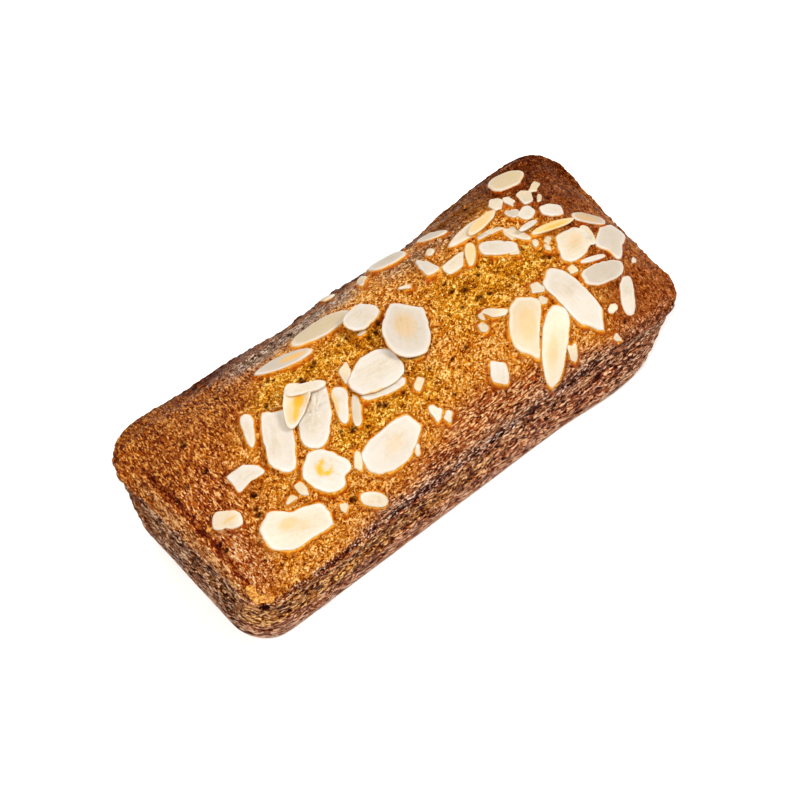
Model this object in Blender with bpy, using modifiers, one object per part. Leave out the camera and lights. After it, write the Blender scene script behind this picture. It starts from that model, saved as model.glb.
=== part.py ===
"""A small banana loaf cake with flaked almonds baked onto its crust.

The loaf is one solid with its tapered wall, crust lip, dome and crags. Each large
almond flake is a thin wavy solid that lies on the dome. The small chips of almond are
fused to the loaf. Sizes are in millimetres, and MM turns them to metres as each vertex
is placed. +Z is up, +X runs along the loaf, and the origin is the centre of its base.
"""
import math
from collections import namedtuple

import bmesh
import bpy
from mathutils import Vector, noise

MM = 0.001

# Driving sizes of the loaf
RIM_LENGTH = 144.0
RIM_WIDTH = 60.0
RIM_HEIGHT = 32.5
RIM_CORNER = 9.6
BASE_LENGTH = 136.6
BASE_WIDTH = 51.6
BASE_CORNER = 10.6
DOME_RISE = 13.0
FOOT_ROUND = 1.7
LIP_REACH = 0.7
CREASE_DEPTH = 0.5

# Fineness of the loaf's mesh
COLUMNS = 64
ROWS = 28
WALL_LEVELS = (0.955, 0.88, 0.70, 0.46, 0.22, 0.045, 0.0)
COLUMN_EASE = 1.0
ROW_EASE = 1.25

# Driving sizes of the almonds
GAP = 0.3
THICKNESS = 1.0
CHIP_SINK = 0.7
CHIP_STAND = 0.8
LONG_FLAKE = 12.0

Flake = namedtuple("Flake", "x y long wide turn blunt taper cuts lift lean curl thick")


def almond(x, y, long, wide, turn, blunt=2.4, taper=0.0, cuts=(), lift=0.0, lean=(0.0, 0.0),
           curl=0.0, thick=THICKNESS):
    """One flake: its middle, length, width and turn from +X in degrees.

    blunt squares the outline, taper widens the end that turn points to, and each cut
    is a straight broken edge as (direction, distance from the middle). lean is how
    high the flake's edge is raised on a neighbour, and in which direction.
    """
    return Flake(x, y, long, wide, turn, blunt, taper, cuts, lift, lean, curl, thick)


FLAKES = (
    almond(-41.1, -1.1, 16.6, 7.6, 59, blunt=3.2, taper=0.05, cuts=((8, 7.7),)),
    almond(-30.4, -1.7, 17.0, 8.2, 50, blunt=2.8, cuts=((24, 7.9),)),
    almond(-32.9, 2.6, 12.8, 6.2, 40, blunt=2.2, taper=0.35, lift=1.5, curl=1.0),
    almond(-37.4, -14.1, 11.2, 10.3, -60, blunt=2.3),
    almond(-51.1, -20.0, 17.4, 9.7, -24, blunt=2.8, cuts=((88, 4.1), (-69, 4.2))),
    almond(-18.9, -18.8, 18.0, 8.8, 2, blunt=3.2, cuts=((24, 7.9), (-64, 4.3))),
    almond(-11.5, -2.2, 14.8, 11.0, -11, blunt=2.8, cuts=((128, 5.1),), lean=(1.7, -78)),
    almond(-12.2, -6.7, 12.2, 3.7, -13, thick=0.7),
    almond(2.3, 2.1, 18.4, 11.7, 56, blunt=2.8, cuts=((66, 6.2), (-18, 7.6)), lean=(3.1, -140)),
    almond(-3.3, 12.3, 10.8, 6.9, 11, cuts=((28, 4.6),), lean=(2.0, 150)),
    almond(-12.2, 17.4, 17.4, 5.7, -6, blunt=2.0, taper=0.08),
    almond(-25.8, 15.5, 15.4, 4.3, -16, blunt=1.8, taper=0.12),
    almond(-23.7, -4.0, 10.0, 3.4, 60, taper=0.15),
    almond(-21.6, -7.1, 8.2, 2.3, 56, taper=-0.1, thick=0.7),
    almond(-52.6, -2.5, 7.7, 5.3, -2, blunt=4.5, cuts=((46, 2.5),)),
    almond(-62.8, -7.7, 7.0, 4.6, -40, blunt=2.9),
    almond(-44.9, 5.8, 9.4, 2.8, 62, taper=0.2),
    almond(-31.6, -25.4, 6.8, 3.2, -32),
    almond(15.9, 24.2, 10.2, 4.8, -11),
    almond(28.8, 21.9, 7.4, 2.6, -28, blunt=2.0),
    almond(19.6, 14.2, 7.0, 3.5, 95, blunt=2.6),
    almond(25.6, 9.4, 7.6, 3.9, 5, blunt=3.6, cuts=((-47, 1.9),)),
    almond(30.4, 9.4, 7.0, 2.8, 49, taper=0.15),
    almond(37.3, 6.2, 9.8, 4.8, -34, blunt=3.0),
    almond(36.0, 15.5, 15.6, 4.0, 4, blunt=2.0, taper=0.1),
    almond(43.9, 6.8, 7.6, 2.5, -60),
    almond(47.8, 6.8, 7.4, 1.8, 10, lean=(2.0, 190)),
    almond(53.1, 3.3, 12.6, 2.4, -13, blunt=2.2, lean=(1.8, -13)),
    almond(63.9, 1.3, 9.0, 3.5, -41),
    almond(53.8, -3.6, 12.2, 8.6, 4, blunt=3.6, cuts=((147, 4.2), (-64, 4.1))),
    almond(64.0, -7.1, 10.4, 7.4, 35, blunt=3.2, cuts=((43, 4.5), (173, 4.5))),
    almond(55.4, -9.7, 7.8, 1.6, -11),
    almond(54.6, -14.0, 12.6, 5.8, -6, blunt=2.5),
    almond(43.4, -16.0, 19.9, 8.5, -83, blunt=2.5, cuts=((44, 6.9), (-43, 6.6))),
    almond(28.3, -14.6, 14.9, 9.6, 50, blunt=2.7, cuts=((-94, 3.1),)),
    almond(31.1, -21.7, 19.9, 6.6, 43, blunt=2.2, taper=0.15),
    almond(56.2, -22.0, 10.4, 3.9, 54, blunt=2.6),
    almond(14.3, -19.8, 5.1, 4.7, 54, blunt=4.5),
    almond(56.1, 23.7, 10.4, 6.3, -8),
    almond(57.1, 8.0, 6.1, 4.3, -24, blunt=3.4),
    almond(50.9, 10.9, 5.0, 4.0, 14, blunt=3.0),
)

# Small chips, each as (x, y, length, width, turn)
CHIPS = (
    (55.3, 16.6, 5.0, 4.0, 4),
    (46.4, 13.7, 3.8, 3.2, -12),
    (50.4, 18.2, 3.8, 3.0, -80),
    (46.4, 18.9, 4.2, 4.0, 0),
    (60.0, 17.4, 5.6, 2.1, 18),
    (57.8, 13.4, 2.5, 1.3, 46),
    (22.0, -6.0, 6.2, 2.5, -28),
    (36.6, -8.4, 3.5, 2.8, -16),
    (36.2, -11.9, 2.4, 2.1, 86),
    (48.9, -9.2, 2.0, 1.8, -6),
    (50.7, -22.6, 2.6, 2.5, 16),
    (35.2, -25.3, 5.3, 2.3, 62),
    (47.2, -28.4, 2.1, 1.9, 30),
    (65.3, -14.9, 2.3, 1.4, 42),
    (17.4, -9.0, 2.8, 2.3, -36),
    (18.6, -5.4, 2.2, 1.8, 50),
    (-4.3, -10.9, 4.1, 2.3, 26),
    (-5.9, -18.5, 3.3, 2.3, 76),
    (-3.2, -20.6, 2.9, 2.0, 26),
    (-13.4, -24.6, 2.4, 1.7, 62),
    (-30.1, -16.6, 4.4, 2.0, 52),
    (-39.1, -23.0, 2.2, 1.9, 54),
    (-44.9, -13.2, 4.6, 1.8, -80),
    (-48.6, -13.8, 2.8, 1.5, -4),
    (-16.7, 4.0, 5.2, 2.4, 38),
    (-6.2, 8.9, 3.0, 1.3, 0),
    (11.4, 12.5, 3.7, 1.5, -24),
    (6.6, 23.4, 4.4, 2.3, 26),
    (-2.5, 26.0, 4.0, 2.0, -30),
    (46.0, 2.0, 3.0, 1.5, 64),
    (47.5, -0.9, 2.4, 1.8, 56),
    (37.8, 12.1, 7.4, 1.4, -10),
    (24.4, 17.4, 2.8, 2.0, 48),
)

CRUMB_COLOUR = (0.36, 0.13, 0.022, 1.0)
ALMOND_COLOUR = (0.86, 0.74, 0.52, 1.0)
OUTLINE_POINTS = 16
SMALL_OUTLINE_POINTS = 12
CHIP_SIDES = 8


def ease(value, low, high):
    """A smooth step from 0 at low to 1 at high."""
    share = min(max((value - low) / (high - low), 0.0), 1.0)
    return share * share * (3.0 - 2.0 * share)


def hump(value, centre, reach):
    """A smooth bump of height 1."""
    return math.exp(-((value - centre) / reach) ** 2)


def side_push(x, y, level):
    """How far the long sides stand out from a straight loaf, at a place and a level of 0 to 1."""
    if y > 0.0:
        waist = -2.3 * hump(x, 22.0, 17.0) - 1.6 * hump(x, -14.0, 13.0)
        swell = 1.4 * hump(x, -60.0, 10.0) + 0.6 * hump(x, 56.0, 8.0)
        return (0.4 + 0.6 * level) * (waist + swell)
    bow = 0.8 * hump(x, -48.0, 12.0) * level
    belly = 1.6 * hump(x, 51.0, 11.0) * hump(level, 0.25, 0.35)
    return bow + belly + 0.2


def end_push(y, level):
    """How far the short ends stand out from a straight loaf."""
    return level * (1.4 * hump(y, 20.0, 9.0) - 1.0 * hump(y, -18.0, 9.0))


def wall_profile(level):
    """How far the wall stands out from the straight taper at a level of 0 to 1."""
    lip = LIP_REACH * hump(level, 0.965, 0.035)
    crease = CREASE_DEPTH * hump(level, 0.87, 0.05)
    belly = 0.5 * math.sin(math.pi * min(level, 0.8) / 0.8)
    foot = FOOT_ROUND * max(0.0, 1.0 - level / 0.06) ** 2
    return lip - crease + belly - foot


def plan_point(across, along, level):
    """The plan position of a point of the rounded rectangle at a level, from -1 to 1 each way."""
    grown = wall_profile(level)
    half_length = (BASE_LENGTH + (RIM_LENGTH - BASE_LENGTH) * level) / 2 + grown
    half_width = (BASE_WIDTH + (RIM_WIDTH - BASE_WIDTH) * level) / 2 + grown
    corner = BASE_CORNER + (RIM_CORNER - BASE_CORNER) * level
    y = half_width * math.sin(along * ROW_EASE) / math.sin(ROW_EASE)
    into_corner = max(0.0, abs(y) - (half_width - corner))
    reach = half_length - corner + math.sqrt(max(0.0, corner ** 2 - into_corner ** 2))
    x = reach * math.sin(across * COLUMN_EASE) / math.sin(COLUMN_EASE)
    x += math.copysign(abs(across) ** 4, x) * end_push(y, level)
    y += math.copysign(abs(along) ** 3, y) * side_push(x, y, level)
    return x, y


def dome_height(x, y):
    """Height of the smooth top of the loaf above its base."""
    half_length = RIM_LENGTH / 2
    half_width = RIM_WIDTH / 2 + side_push(x, y, 1.0)
    u = min(abs(x) / half_length, 1.0)
    v = min(abs(y) / half_width, 1.0)
    fullness = 2.5 if y > 0.0 else 2.1
    return RIM_HEIGHT + DOME_RISE * (1 - u ** 3.6) ** 0.85 * (1 - v ** fullness) ** 0.8


def burst_line(x):
    """Where the crest of the loaf burst open, as y for each x."""
    return -6.0 + 9.0 * ease(x, 5.0, 38.0)


def calm(x, y):
    """0 under a flake and 1 well clear of all of them, so that each flake lies close."""
    least = 1.0
    for flake in FLAKES:
        turn = math.radians(flake.turn)
        dx = x - flake.x
        dy = y - flake.y
        u = (dx * math.cos(turn) + dy * math.sin(turn)) / (flake.long / 2 + 2.2)
        v = (dy * math.cos(turn) - dx * math.sin(turn)) / (flake.wide / 2 + 2.2)
        least = min(least, ease(u * u + v * v, 1.0, 1.8))
    return least


def top_relief(x, y):
    """Lumps, the burst crest and the long wrinkles of the crust."""
    lumps = 0.5 * noise.noise(Vector((x / 12.0, y / 9.0, 3.1)))
    burst = 0.9 * noise.noise(Vector((x / 5.5, y / 4.5, 7.7))) * hump(y, burst_line(x), 6.0)
    front = 0.9 * noise.noise(Vector((x / 17.0, y / 2.6, 1.3))) * ease(-y, 15.0, 24.0)
    back = 1.1 * noise.noise(Vector((x / 20.0, y / 3.0, 5.9))) * ease(y, 17.0, 24.0)
    ends = 0.7 * noise.noise(Vector((x / 4.0, y / 9.0, 9.2))) * ease(abs(x), 58.0, 68.0)
    return (lumps + burst + front + back + ends) * calm(x, y)


def wall_relief(x, y, level):
    """Long wrinkles and shallow dents round the wall, fading to a flat foot."""
    run = x + 1.6 * y
    wrinkle = 0.55 * noise.noise(Vector((run / 16.0, level * 11.0, 2.2)))
    dent = 0.5 * noise.noise(Vector((run / 6.0, level * 5.0, 8.4)))
    return (wrinkle + dent) * ease(level, 0.03, 0.2)


def loaf_point(across, along, level):
    """A point of the loaf's skin, from its place on the flat sheet that the loaf starts as."""
    x, y = plan_point(across, along, level)
    edge = max(abs(across), abs(along))
    if level > 0.999:
        z = dome_height(x, y) + top_relief(x, y) * (0.3 + 0.7 * ease(1.0 - edge, 0.0, 0.1))
        return Vector((x, y, z)) * MM
    push = wall_relief(x, y, level)
    away = Vector((x * abs(across) ** 12, y * abs(along) ** 12, 0.0))
    if away.length > 0.0:
        away.normalize()
    z = RIM_HEIGHT * level + (dome_height(x, y) - RIM_HEIGHT) * ease(level, 0.85, 1.0)
    return (Vector((x, y, z)) + away * push) * MM


def mesh_object(name, bm, collection, material):
    """An object of a bmesh, with its normals out and its material set."""
    bmesh.ops.recalc_face_normals(bm, faces=bm.faces)
    mesh = bpy.data.meshes.new(name)
    bm.to_mesh(mesh)
    bm.free()
    mesh.shade_smooth()
    mesh.materials.append(material)
    thing = bpy.data.objects.new(name, mesh)
    collection.objects.link(thing)
    return thing


def make_material(name, colour, roughness):
    material = bpy.data.materials.new(name)
    material.use_nodes = True
    shader = material.node_tree.nodes["Principled BSDF"]
    shader.inputs["Base Color"].default_value = colour
    shader.inputs["Roughness"].default_value = roughness
    return material


def make_loaf(collection, material):
    """The whole loaf: a flat sheet whose edge is drawn down level by level, then shaped."""
    bm = bmesh.new()
    bmesh.ops.create_grid(bm, x_segments=COLUMNS, y_segments=ROWS, size=1.0)
    for vert in bm.verts:
        vert.co.z = 1.0
    edges = [edge for edge in bm.edges if edge.is_boundary]
    for level in WALL_LEVELS:
        drawn = bmesh.ops.extrude_edge_only(bm, edges=edges)["geom"]
        for vert in drawn:
            if isinstance(vert, bmesh.types.BMVert):
                vert.co.z = level
        edges = [edge for edge in drawn if isinstance(edge, bmesh.types.BMEdge) and edge.is_boundary]
    bmesh.ops.contextual_create(bm, geom=edges)
    for vert in bm.verts:
        vert.co = loaf_point(*vert.co)
    return mesh_object("loaf", bm, collection, material)


def flake_outline(flake, angle, reach):
    """A point of the flake in its own plane, at an angle and a share of the way to its edge."""
    power = 2.0 / flake.blunt
    cosine = math.cos(angle)
    sine = math.sin(angle)
    u = math.copysign(abs(cosine) ** power, cosine) * flake.long / 2
    v = math.copysign(abs(sine) ** power, sine) * flake.wide / 2
    v *= 1.0 + flake.taper * math.copysign(abs(cosine) ** power, cosine)
    for direction, distance in flake.cuts:
        cut = math.radians(direction)
        beyond = u * math.cos(cut) + v * math.sin(cut) - distance
        if beyond > 0.0:
            u -= beyond * math.cos(cut)
            v -= beyond * math.sin(cut)
    return u * reach, v * reach


def flake_point(flake, angle, reach):
    """A point of the flake's underside, lying on the dome or leaning on a neighbour."""
    u, v = flake_outline(flake, angle, reach)
    turn = math.radians(flake.turn)
    x = flake.x + u * math.cos(turn) - v * math.sin(turn)
    y = flake.y + u * math.sin(turn) + v * math.cos(turn)
    height, direction = flake.lean
    way = math.radians(direction)
    along = (x - flake.x) * math.cos(way) + (y - flake.y) * math.sin(way)
    side = math.radians(direction - flake.turn)
    extent = math.hypot(flake.long / 2 * math.cos(side), flake.wide / 2 * math.sin(side))
    raised = flake.lift + height * (0.5 + 0.5 * along / extent)
    raised += flake.curl * (2 * v / flake.wide) ** 2
    wave = 0.12 * (1.0 + noise.noise(Vector((x / 4.0, y / 4.0, flake.x))))
    return Vector((x, y, dome_height(x, y) + GAP + raised + wave)) * MM


def make_flake(name, flake, collection, material):
    """A thin wavy solid: a disc of triangles laid on the dome and given its thickness."""
    sides = OUTLINE_POINTS if flake.long > LONG_FLAKE else SMALL_OUTLINE_POINTS
    rings = (0.0, 0.55, 1.0) if flake.long > LONG_FLAKE else (0.0, 1.0)
    bm = bmesh.new()
    bmesh.ops.create_circle(bm, cap_ends=True, cap_tris=True, segments=sides, radius=rings[1])
    if len(rings) > 2:
        bmesh.ops.create_cone(bm, segments=sides, radius1=1.0, radius2=rings[1], depth=0.0)
        bmesh.ops.remove_doubles(bm, verts=bm.verts, dist=0.0001)
    for vert in bm.verts:
        angle = math.atan2(vert.co.y, vert.co.x)
        vert.co = flake_point(flake, angle, vert.co.xy.length)
    bmesh.ops.triangulate(bm, faces=bm.faces)
    bmesh.ops.recalc_face_normals(bm, faces=bm.faces)
    if sum(face.normal.z for face in bm.faces) < 0.0:
        bmesh.ops.reverse_faces(bm, faces=bm.faces)
    mesh = bpy.data.meshes.new(name)
    bm.to_mesh(mesh)
    bm.free()
    mesh.shade_smooth()
    mesh.materials.append(material)
    thing = bpy.data.objects.new(name, mesh)
    collection.objects.link(thing)
    skin = thing.modifiers.new("thickness", "SOLIDIFY")
    skin.thickness = flake.thick * MM
    skin.offset = 1.0
    return thing


def make_chip(name, chip, collection, material):
    """A chip of almond, sunk in the crust so that it fuses to the loaf."""
    x, y, long, wide, turn = chip
    bm = bmesh.new()
    bmesh.ops.create_cone(bm, cap_ends=True, segments=CHIP_SIDES, radius1=1.0, radius2=0.8, depth=1.0)
    heading = math.radians(turn)
    for vert in bm.verts:
        angle = math.atan2(vert.co.y, vert.co.x)
        uneven = 1.0 + 0.14 * noise.noise(Vector((angle * 2.0, x, y)))
        u = vert.co.x * long / 2 * uneven
        v = vert.co.y * wide / 2 * uneven
        px = x + u * math.cos(heading) - v * math.sin(heading)
        py = y + u * math.sin(heading) + v * math.cos(heading)
        rise = CHIP_STAND if vert.co.z > 0.0 else -CHIP_SINK
        vert.co = Vector((px, py, dome_height(px, py) + rise)) * MM
    return mesh_object(name, bm, collection, material)


def fuse(base, pieces):
    """Joins a collection of pieces to the base with one Boolean union, and removes them."""
    joint = base.modifiers.new("fuse", "BOOLEAN")
    joint.operation = "UNION"
    joint.operand_type = "COLLECTION"
    joint.collection = pieces
    joint.solver = "EXACT"
    bpy.context.view_layer.update()
    fused = bpy.data.meshes.new_from_object(base.evaluated_get(bpy.context.evaluated_depsgraph_get()))
    base.modifiers.clear()
    base.data = fused
    for piece in list(pieces.objects):
        bpy.data.objects.remove(piece, do_unlink=True)
    bpy.data.collections.remove(pieces)


def main():
    for thing in list(bpy.data.objects):
        bpy.data.objects.remove(thing, do_unlink=True)
    cake = bpy.data.collections.new("banana_cake")
    chips = bpy.data.collections.new("fused_chips")
    bpy.context.scene.collection.children.link(cake)
    bpy.context.scene.collection.children.link(chips)
    crust = make_material("browned crust", CRUMB_COLOUR, 0.5)
    loaf = make_loaf(cake, crust)
    for number, chip in enumerate(CHIPS, start=1):
        make_chip(f"chip_{number:02d}", chip, chips, crust)
    fuse(loaf, chips)
    for number, flake in enumerate(FLAKES, start=1):
        name = f"almond_{number:02d}"
        make_flake(name, flake, cake, make_material(name, ALMOND_COLOUR, 0.55))


main()
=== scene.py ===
# %% [markdown]
# # A small banana loaf with flaked almonds
# The real thing is a mini loaf cake: a wet banana batter, flaked almonds thrown on top, and a
# hot oven. The batter rises to a dome, bursts along its crest and browns most where it meets
# the tin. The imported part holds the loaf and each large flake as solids, so this lesson keeps
# those forms and makes what the eye reads as food: the wrinkled, sugary crust, the golden
# crumb in the burst, the caramel round each flake, and the almonds' pale, waxy faces.

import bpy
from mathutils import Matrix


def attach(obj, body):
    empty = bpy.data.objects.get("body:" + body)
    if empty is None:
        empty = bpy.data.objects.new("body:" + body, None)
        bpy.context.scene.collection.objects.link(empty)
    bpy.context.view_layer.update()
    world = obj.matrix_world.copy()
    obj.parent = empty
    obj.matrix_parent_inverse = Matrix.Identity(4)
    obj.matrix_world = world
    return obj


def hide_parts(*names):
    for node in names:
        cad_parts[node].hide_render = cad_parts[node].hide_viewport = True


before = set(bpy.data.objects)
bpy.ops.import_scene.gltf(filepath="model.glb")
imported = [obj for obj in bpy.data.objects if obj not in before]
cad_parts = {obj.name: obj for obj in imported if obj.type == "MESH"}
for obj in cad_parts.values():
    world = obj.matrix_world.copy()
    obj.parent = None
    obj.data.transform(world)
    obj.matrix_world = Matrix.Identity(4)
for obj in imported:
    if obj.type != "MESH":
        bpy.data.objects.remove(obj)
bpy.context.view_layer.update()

# %% [markdown]
# ## Tools for the whole lesson
# Sizes are in millimetres, as a baker would state them, and MM turns them to metres when a mesh
# is written. The shapes could be sculpted by hand or made by displacement modifiers. They are
# worked out on arrays instead, because a fine mesh then takes seconds and every number can be
# changed. Four small functions do most of the shaping: a soft step, a soft bump, a smooth noise,
# and the same noise bent to ridges and valleys.

# %% Arrays, soft steps and noise
from collections import namedtuple
from math import cos, pi, radians, sin

import bmesh
import bpy
import numpy as np
from mathutils import Matrix, Vector, noise

MM = 0.001


def ease(value, low, high):
    """A smooth step from 0 at low to 1 at high."""
    share = np.clip((value - low) / (high - low), 0.0, 1.0)
    return share * share * (3.0 - 2.0 * share)


def hump(value, centre, reach):
    """A smooth bump of height 1."""
    return np.exp(-(((value - centre) / reach) ** 2))


def ripple(x, y, z=0.0):
    """Smooth noise of about -1 to 1 at each point of the arrays."""
    x, y, z = np.broadcast_arrays(x, y, z)
    spots = zip(x.ravel().tolist(), y.ravel().tolist(), z.ravel().tolist())
    return np.array([noise.noise(Vector(spot)) for spot in spots]).reshape(x.shape)


def fold(x, y, z=0.0):
    """Noise turned to broad ridges with narrow valleys between them, from -1 to 0."""
    return -(1.0 - np.clip(np.abs(ripple(x, y, z)) * 2.6, 0.0, 1.0)) ** 2


print("middle of a soft step", float(ease(0.5, 0.0, 1.0)), "top of a soft bump", float(hump(0.0, 0.0, 1.0)))

# %% [markdown]
# ## The camera
# The picture was taken from above the loaf's front left, with a long lens that keeps the far
# end nearly as wide as the near one. A camera can be nudged by hand until it looks right, but
# here its place and its turn were fitted to the outline of the loaf and to its rim, and are
# stated as angles and a distance from the middle of the base. Angles are in degrees.

# %% Place the camera
CAMERA_AZIMUTH = -43.63
CAMERA_ELEVATION = 59.476
CAMERA_ROLL = 3.341
CAMERA_DISTANCE = 784.55
CAMERA_SIDE = 0.389
CAMERA_LIFT = 9.019


def camera_axes():
    """The camera's right, up and back directions."""
    azimuth = radians(CAMERA_AZIMUTH)
    elevation = radians(CAMERA_ELEVATION)
    back = Vector((sin(azimuth) * cos(elevation), -cos(azimuth) * cos(elevation), sin(elevation)))
    level_right = Vector((cos(azimuth), sin(azimuth), 0.0))
    level_up = back.cross(level_right)
    turn = radians(CAMERA_ROLL)
    right = cos(turn) * level_right + sin(turn) * level_up
    up = cos(turn) * level_up - sin(turn) * level_right
    return right, up, back


camera_data = bpy.data.cameras.new("camera")
camera_data.lens = 135.0
camera_data.sensor_width = 36.0
camera_data.clip_start = 0.05
camera = bpy.data.objects.new("camera", camera_data)
bpy.context.scene.collection.objects.link(camera)
right, up, back = camera_axes()
place = (back * CAMERA_DISTANCE + right * CAMERA_SIDE + up * CAMERA_LIFT) * MM
camera.matrix_world = Matrix.Translation(place) @ Matrix((right, up, back)).transposed().to_4x4()
bpy.context.scene.camera = camera
print("camera at", [round(value, 3) for value in place])

# %% [markdown]
# ## The almonds' places
# Flaked almonds are slices cut along a blanched kernel, about 1 mm thick. Whole ones are long
# ovals, and most are chipped or snapped by the bag. They could be scattered by chance, but the
# eye knows this loaf by its flakes, so each has its own place. A flake is a blunted oval with a
# few straight broken edges, given by its place, size and turn. The same list places the flakes
# and tells the crust where to lie calm and where the sugar turned to caramel.

# %% One flake in numbers
Flake = namedtuple("Flake", "x y long wide turn blunt taper cuts lift lean curl thick dents")


def almond(x, y, long, wide, turn, blunt=2.4, taper=0.0, cuts=(), lift=0.0, lean=(0.0, 0.0),
           curl=0.0, thick=1.0, dents=()):
    """One flake. blunt squares the outline, taper widens the end that turn points to, each cut
    is (direction, distance), lean is (height, direction) of the edge raised on a neighbour, and
    each dent is (direction, share, half width) of a bite, or of a corner where share is above 0."""
    return Flake(x, y, long, wide, turn, blunt, taper, cuts, lift, lean, curl, thick, dents)


print("a flake has", len(Flake._fields), "values")

# %% [markdown]
# The 41 flakes run roughly from the left end of the loaf to the right. x is along it and y is
# across it, from the middle of the base.

# %% The flakes
FLAKES = (
    almond(-41.1, -1.1, 16.6, 7.6, 59, blunt=3.2, taper=0.05, cuts=((8, 7.7),),
           dents=((75, 0.08, 12), (-103, 0.08, 14), (-135, -0.06, 14))),
    almond(-30.4, -1.7, 17.0, 8.2, 50, blunt=2.8, cuts=((24, 7.9),), dents=((38, 0.1, 14), (95, 0.1, 20))),
    almond(-32.9, 2.6, 12.8, 6.2, 40, blunt=2.2, taper=0.35, lift=1.5, curl=1.0, dents=((70, 0.06, 16),)),
    almond(-37.4, -14.1, 11.2, 10.3, -60, blunt=2.3,
           dents=((-20, 0.22, 17), (-52, -0.14, 13), (45, -0.05, 20))),
    almond(-51.1, -20.0, 17.4, 9.7, -24, blunt=2.8, cuts=((88, 4.1), (-69, 4.2)),
           dents=((112, 0.16, 13), (78, -0.18, 20), (196, 0.06, 20))),
    almond(-18.9, -18.8, 18.0, 8.8, 2, blunt=3.2, cuts=((24, 7.9), (-64, 4.3)), dents=((186, 0.06, 10),)),
    almond(-11.5, -2.2, 14.8, 11.0, -11, blunt=2.8, cuts=((128, 5.1),), lean=(1.7, -78)),
    almond(-12.2, -6.7, 12.2, 3.7, -13, thick=0.7),
    almond(2.3, 2.1, 18.4, 11.7, 56, blunt=2.8, cuts=((66, 6.2), (-18, 7.6)), lean=(3.1, -140)),
    almond(-3.3, 12.3, 10.8, 6.9, 11, cuts=((28, 4.6),), lean=(2.0, 150)),
    almond(-12.2, 17.4, 17.4, 5.7, -6, blunt=2.0, taper=0.08),
    almond(-25.8, 15.5, 15.4, 4.3, -16, blunt=1.8, taper=0.12),
    almond(-23.7, -4.0, 10.0, 3.4, 60, taper=0.15, dents=((25, 0.25, 22), (92, 0.25, 20))),
    almond(-21.6, -7.1, 8.2, 2.3, 56, taper=-0.1, thick=0.7, dents=((10, 0.2, 40),)),
    almond(-52.6, -2.5, 7.7, 5.3, -2, blunt=4.5, cuts=((46, 2.5),),
           dents=((140, 0.14, 13), (211, 0.14, 12), (-36, 0.12, 12), (-92, -0.2, 28))),
    almond(-62.8, -7.7, 7.0, 4.6, -40, blunt=2.9, dents=((98, 0.14, 20), (222, -0.2, 22), (-60, 0.12, 14))),
    almond(-44.9, 5.8, 9.4, 2.8, 62, taper=0.2, dents=((90, 0.15, 18), (30, 0.2, 18))),
    almond(-31.6, -25.4, 6.8, 3.2, -32),
    almond(15.9, 24.2, 10.2, 4.8, -11),
    almond(28.8, 21.9, 7.4, 2.6, -28, blunt=2.0, dents=((60, 0.3, 25), (-28, 0.08, 12))),
    almond(19.6, 14.2, 7.0, 3.5, 95, blunt=2.6,
           dents=((60, -0.3, 26), (130, -0.3, 26), (-55, 0.3, 18), (-128, 0.3, 18))),
    almond(25.6, 9.4, 7.6, 3.9, 5, blunt=3.6, cuts=((-47, 1.9),), dents=((30, 0.15, 12), (150, 0.12, 14))),
    almond(30.4, 9.4, 7.0, 2.8, 49, taper=0.15, dents=((49, 0.12, 20), (229, 0.12, 14))),
    almond(37.3, 6.2, 9.8, 4.8, -34, blunt=3.0, dents=((140, 0.12, 25), (15, -0.22, 20), (-70, -0.12, 18))),
    almond(36.0, 15.5, 15.6, 4.0, 4, blunt=2.0, taper=0.1),
    almond(43.9, 6.8, 7.6, 2.5, -60),
    almond(47.8, 6.8, 7.4, 1.8, 10, lean=(2.0, 190)),
    almond(53.1, 3.3, 12.6, 2.4, -13, blunt=2.2, lean=(1.8, -13)),
    almond(63.9, 1.3, 9.0, 3.5, -41),
    almond(53.8, -3.6, 12.2, 8.6, 4, blunt=3.6, cuts=((147, 4.2), (-64, 4.1))),
    almond(64.0, -7.1, 10.4, 7.4, 35, blunt=3.2, cuts=((43, 4.5), (173, 4.5)),
           dents=((-108, 0.24, 16), (-55, -0.16, 20), (45, 0.1, 16))),
    almond(55.4, -9.7, 7.8, 1.6, -11),
    almond(54.6, -14.0, 12.6, 5.8, -6, blunt=2.5, dents=((0, 0.1, 9), (30, -0.08, 12), (160, -0.05, 14))),
    almond(43.4, -16.0, 19.9, 8.5, -83, blunt=2.5, cuts=((44, 6.9), (-43, 6.6)),
           dents=((125, 0.12, 12), (108, -0.05, 8), (75, -0.04, 12))),
    almond(28.3, -14.6, 14.9, 9.6, 50, blunt=2.7, cuts=((-94, 3.1),),
           dents=((-112, 0.14, 13), (180, 0.06, 22))),
    almond(31.1, -21.7, 19.9, 6.6, 43, blunt=2.2, taper=0.15, dents=((20, 0.1, 12),)),
    almond(56.2, -22.0, 10.4, 3.9, 54, blunt=2.6, dents=((74, -0.14, 10), (40, 0.14, 14))),
    almond(14.3, -19.8, 5.1, 4.7, 54, blunt=4.5, dents=((90, 0.1, 20), (-10, -0.12, 25))),
    almond(56.1, 23.7, 10.4, 6.3, -8, dents=((-3, 0.1, 13), (-38, -0.16, 20), (205, 0.1, 20))),
    almond(57.1, 8.0, 6.1, 4.3, -24, blunt=3.4, dents=((200, -0.16, 25), (70, 0.12, 20))),
    almond(50.9, 10.9, 5.0, 4.0, 14, blunt=3.0, dents=((120, -0.16, 25), (30, 0.16, 18), (-80, 0.1, 18))),
)
print("flakes", len(FLAKES))

# %% [markdown]
# Chips are the small pieces that broke off in the bag. Their places and sizes are those of the
# picture, but nobody knows a chip by its corners, so those are drawn by chance, from one seed.

# %% The chips
chance = np.random.default_rng(27)


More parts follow.
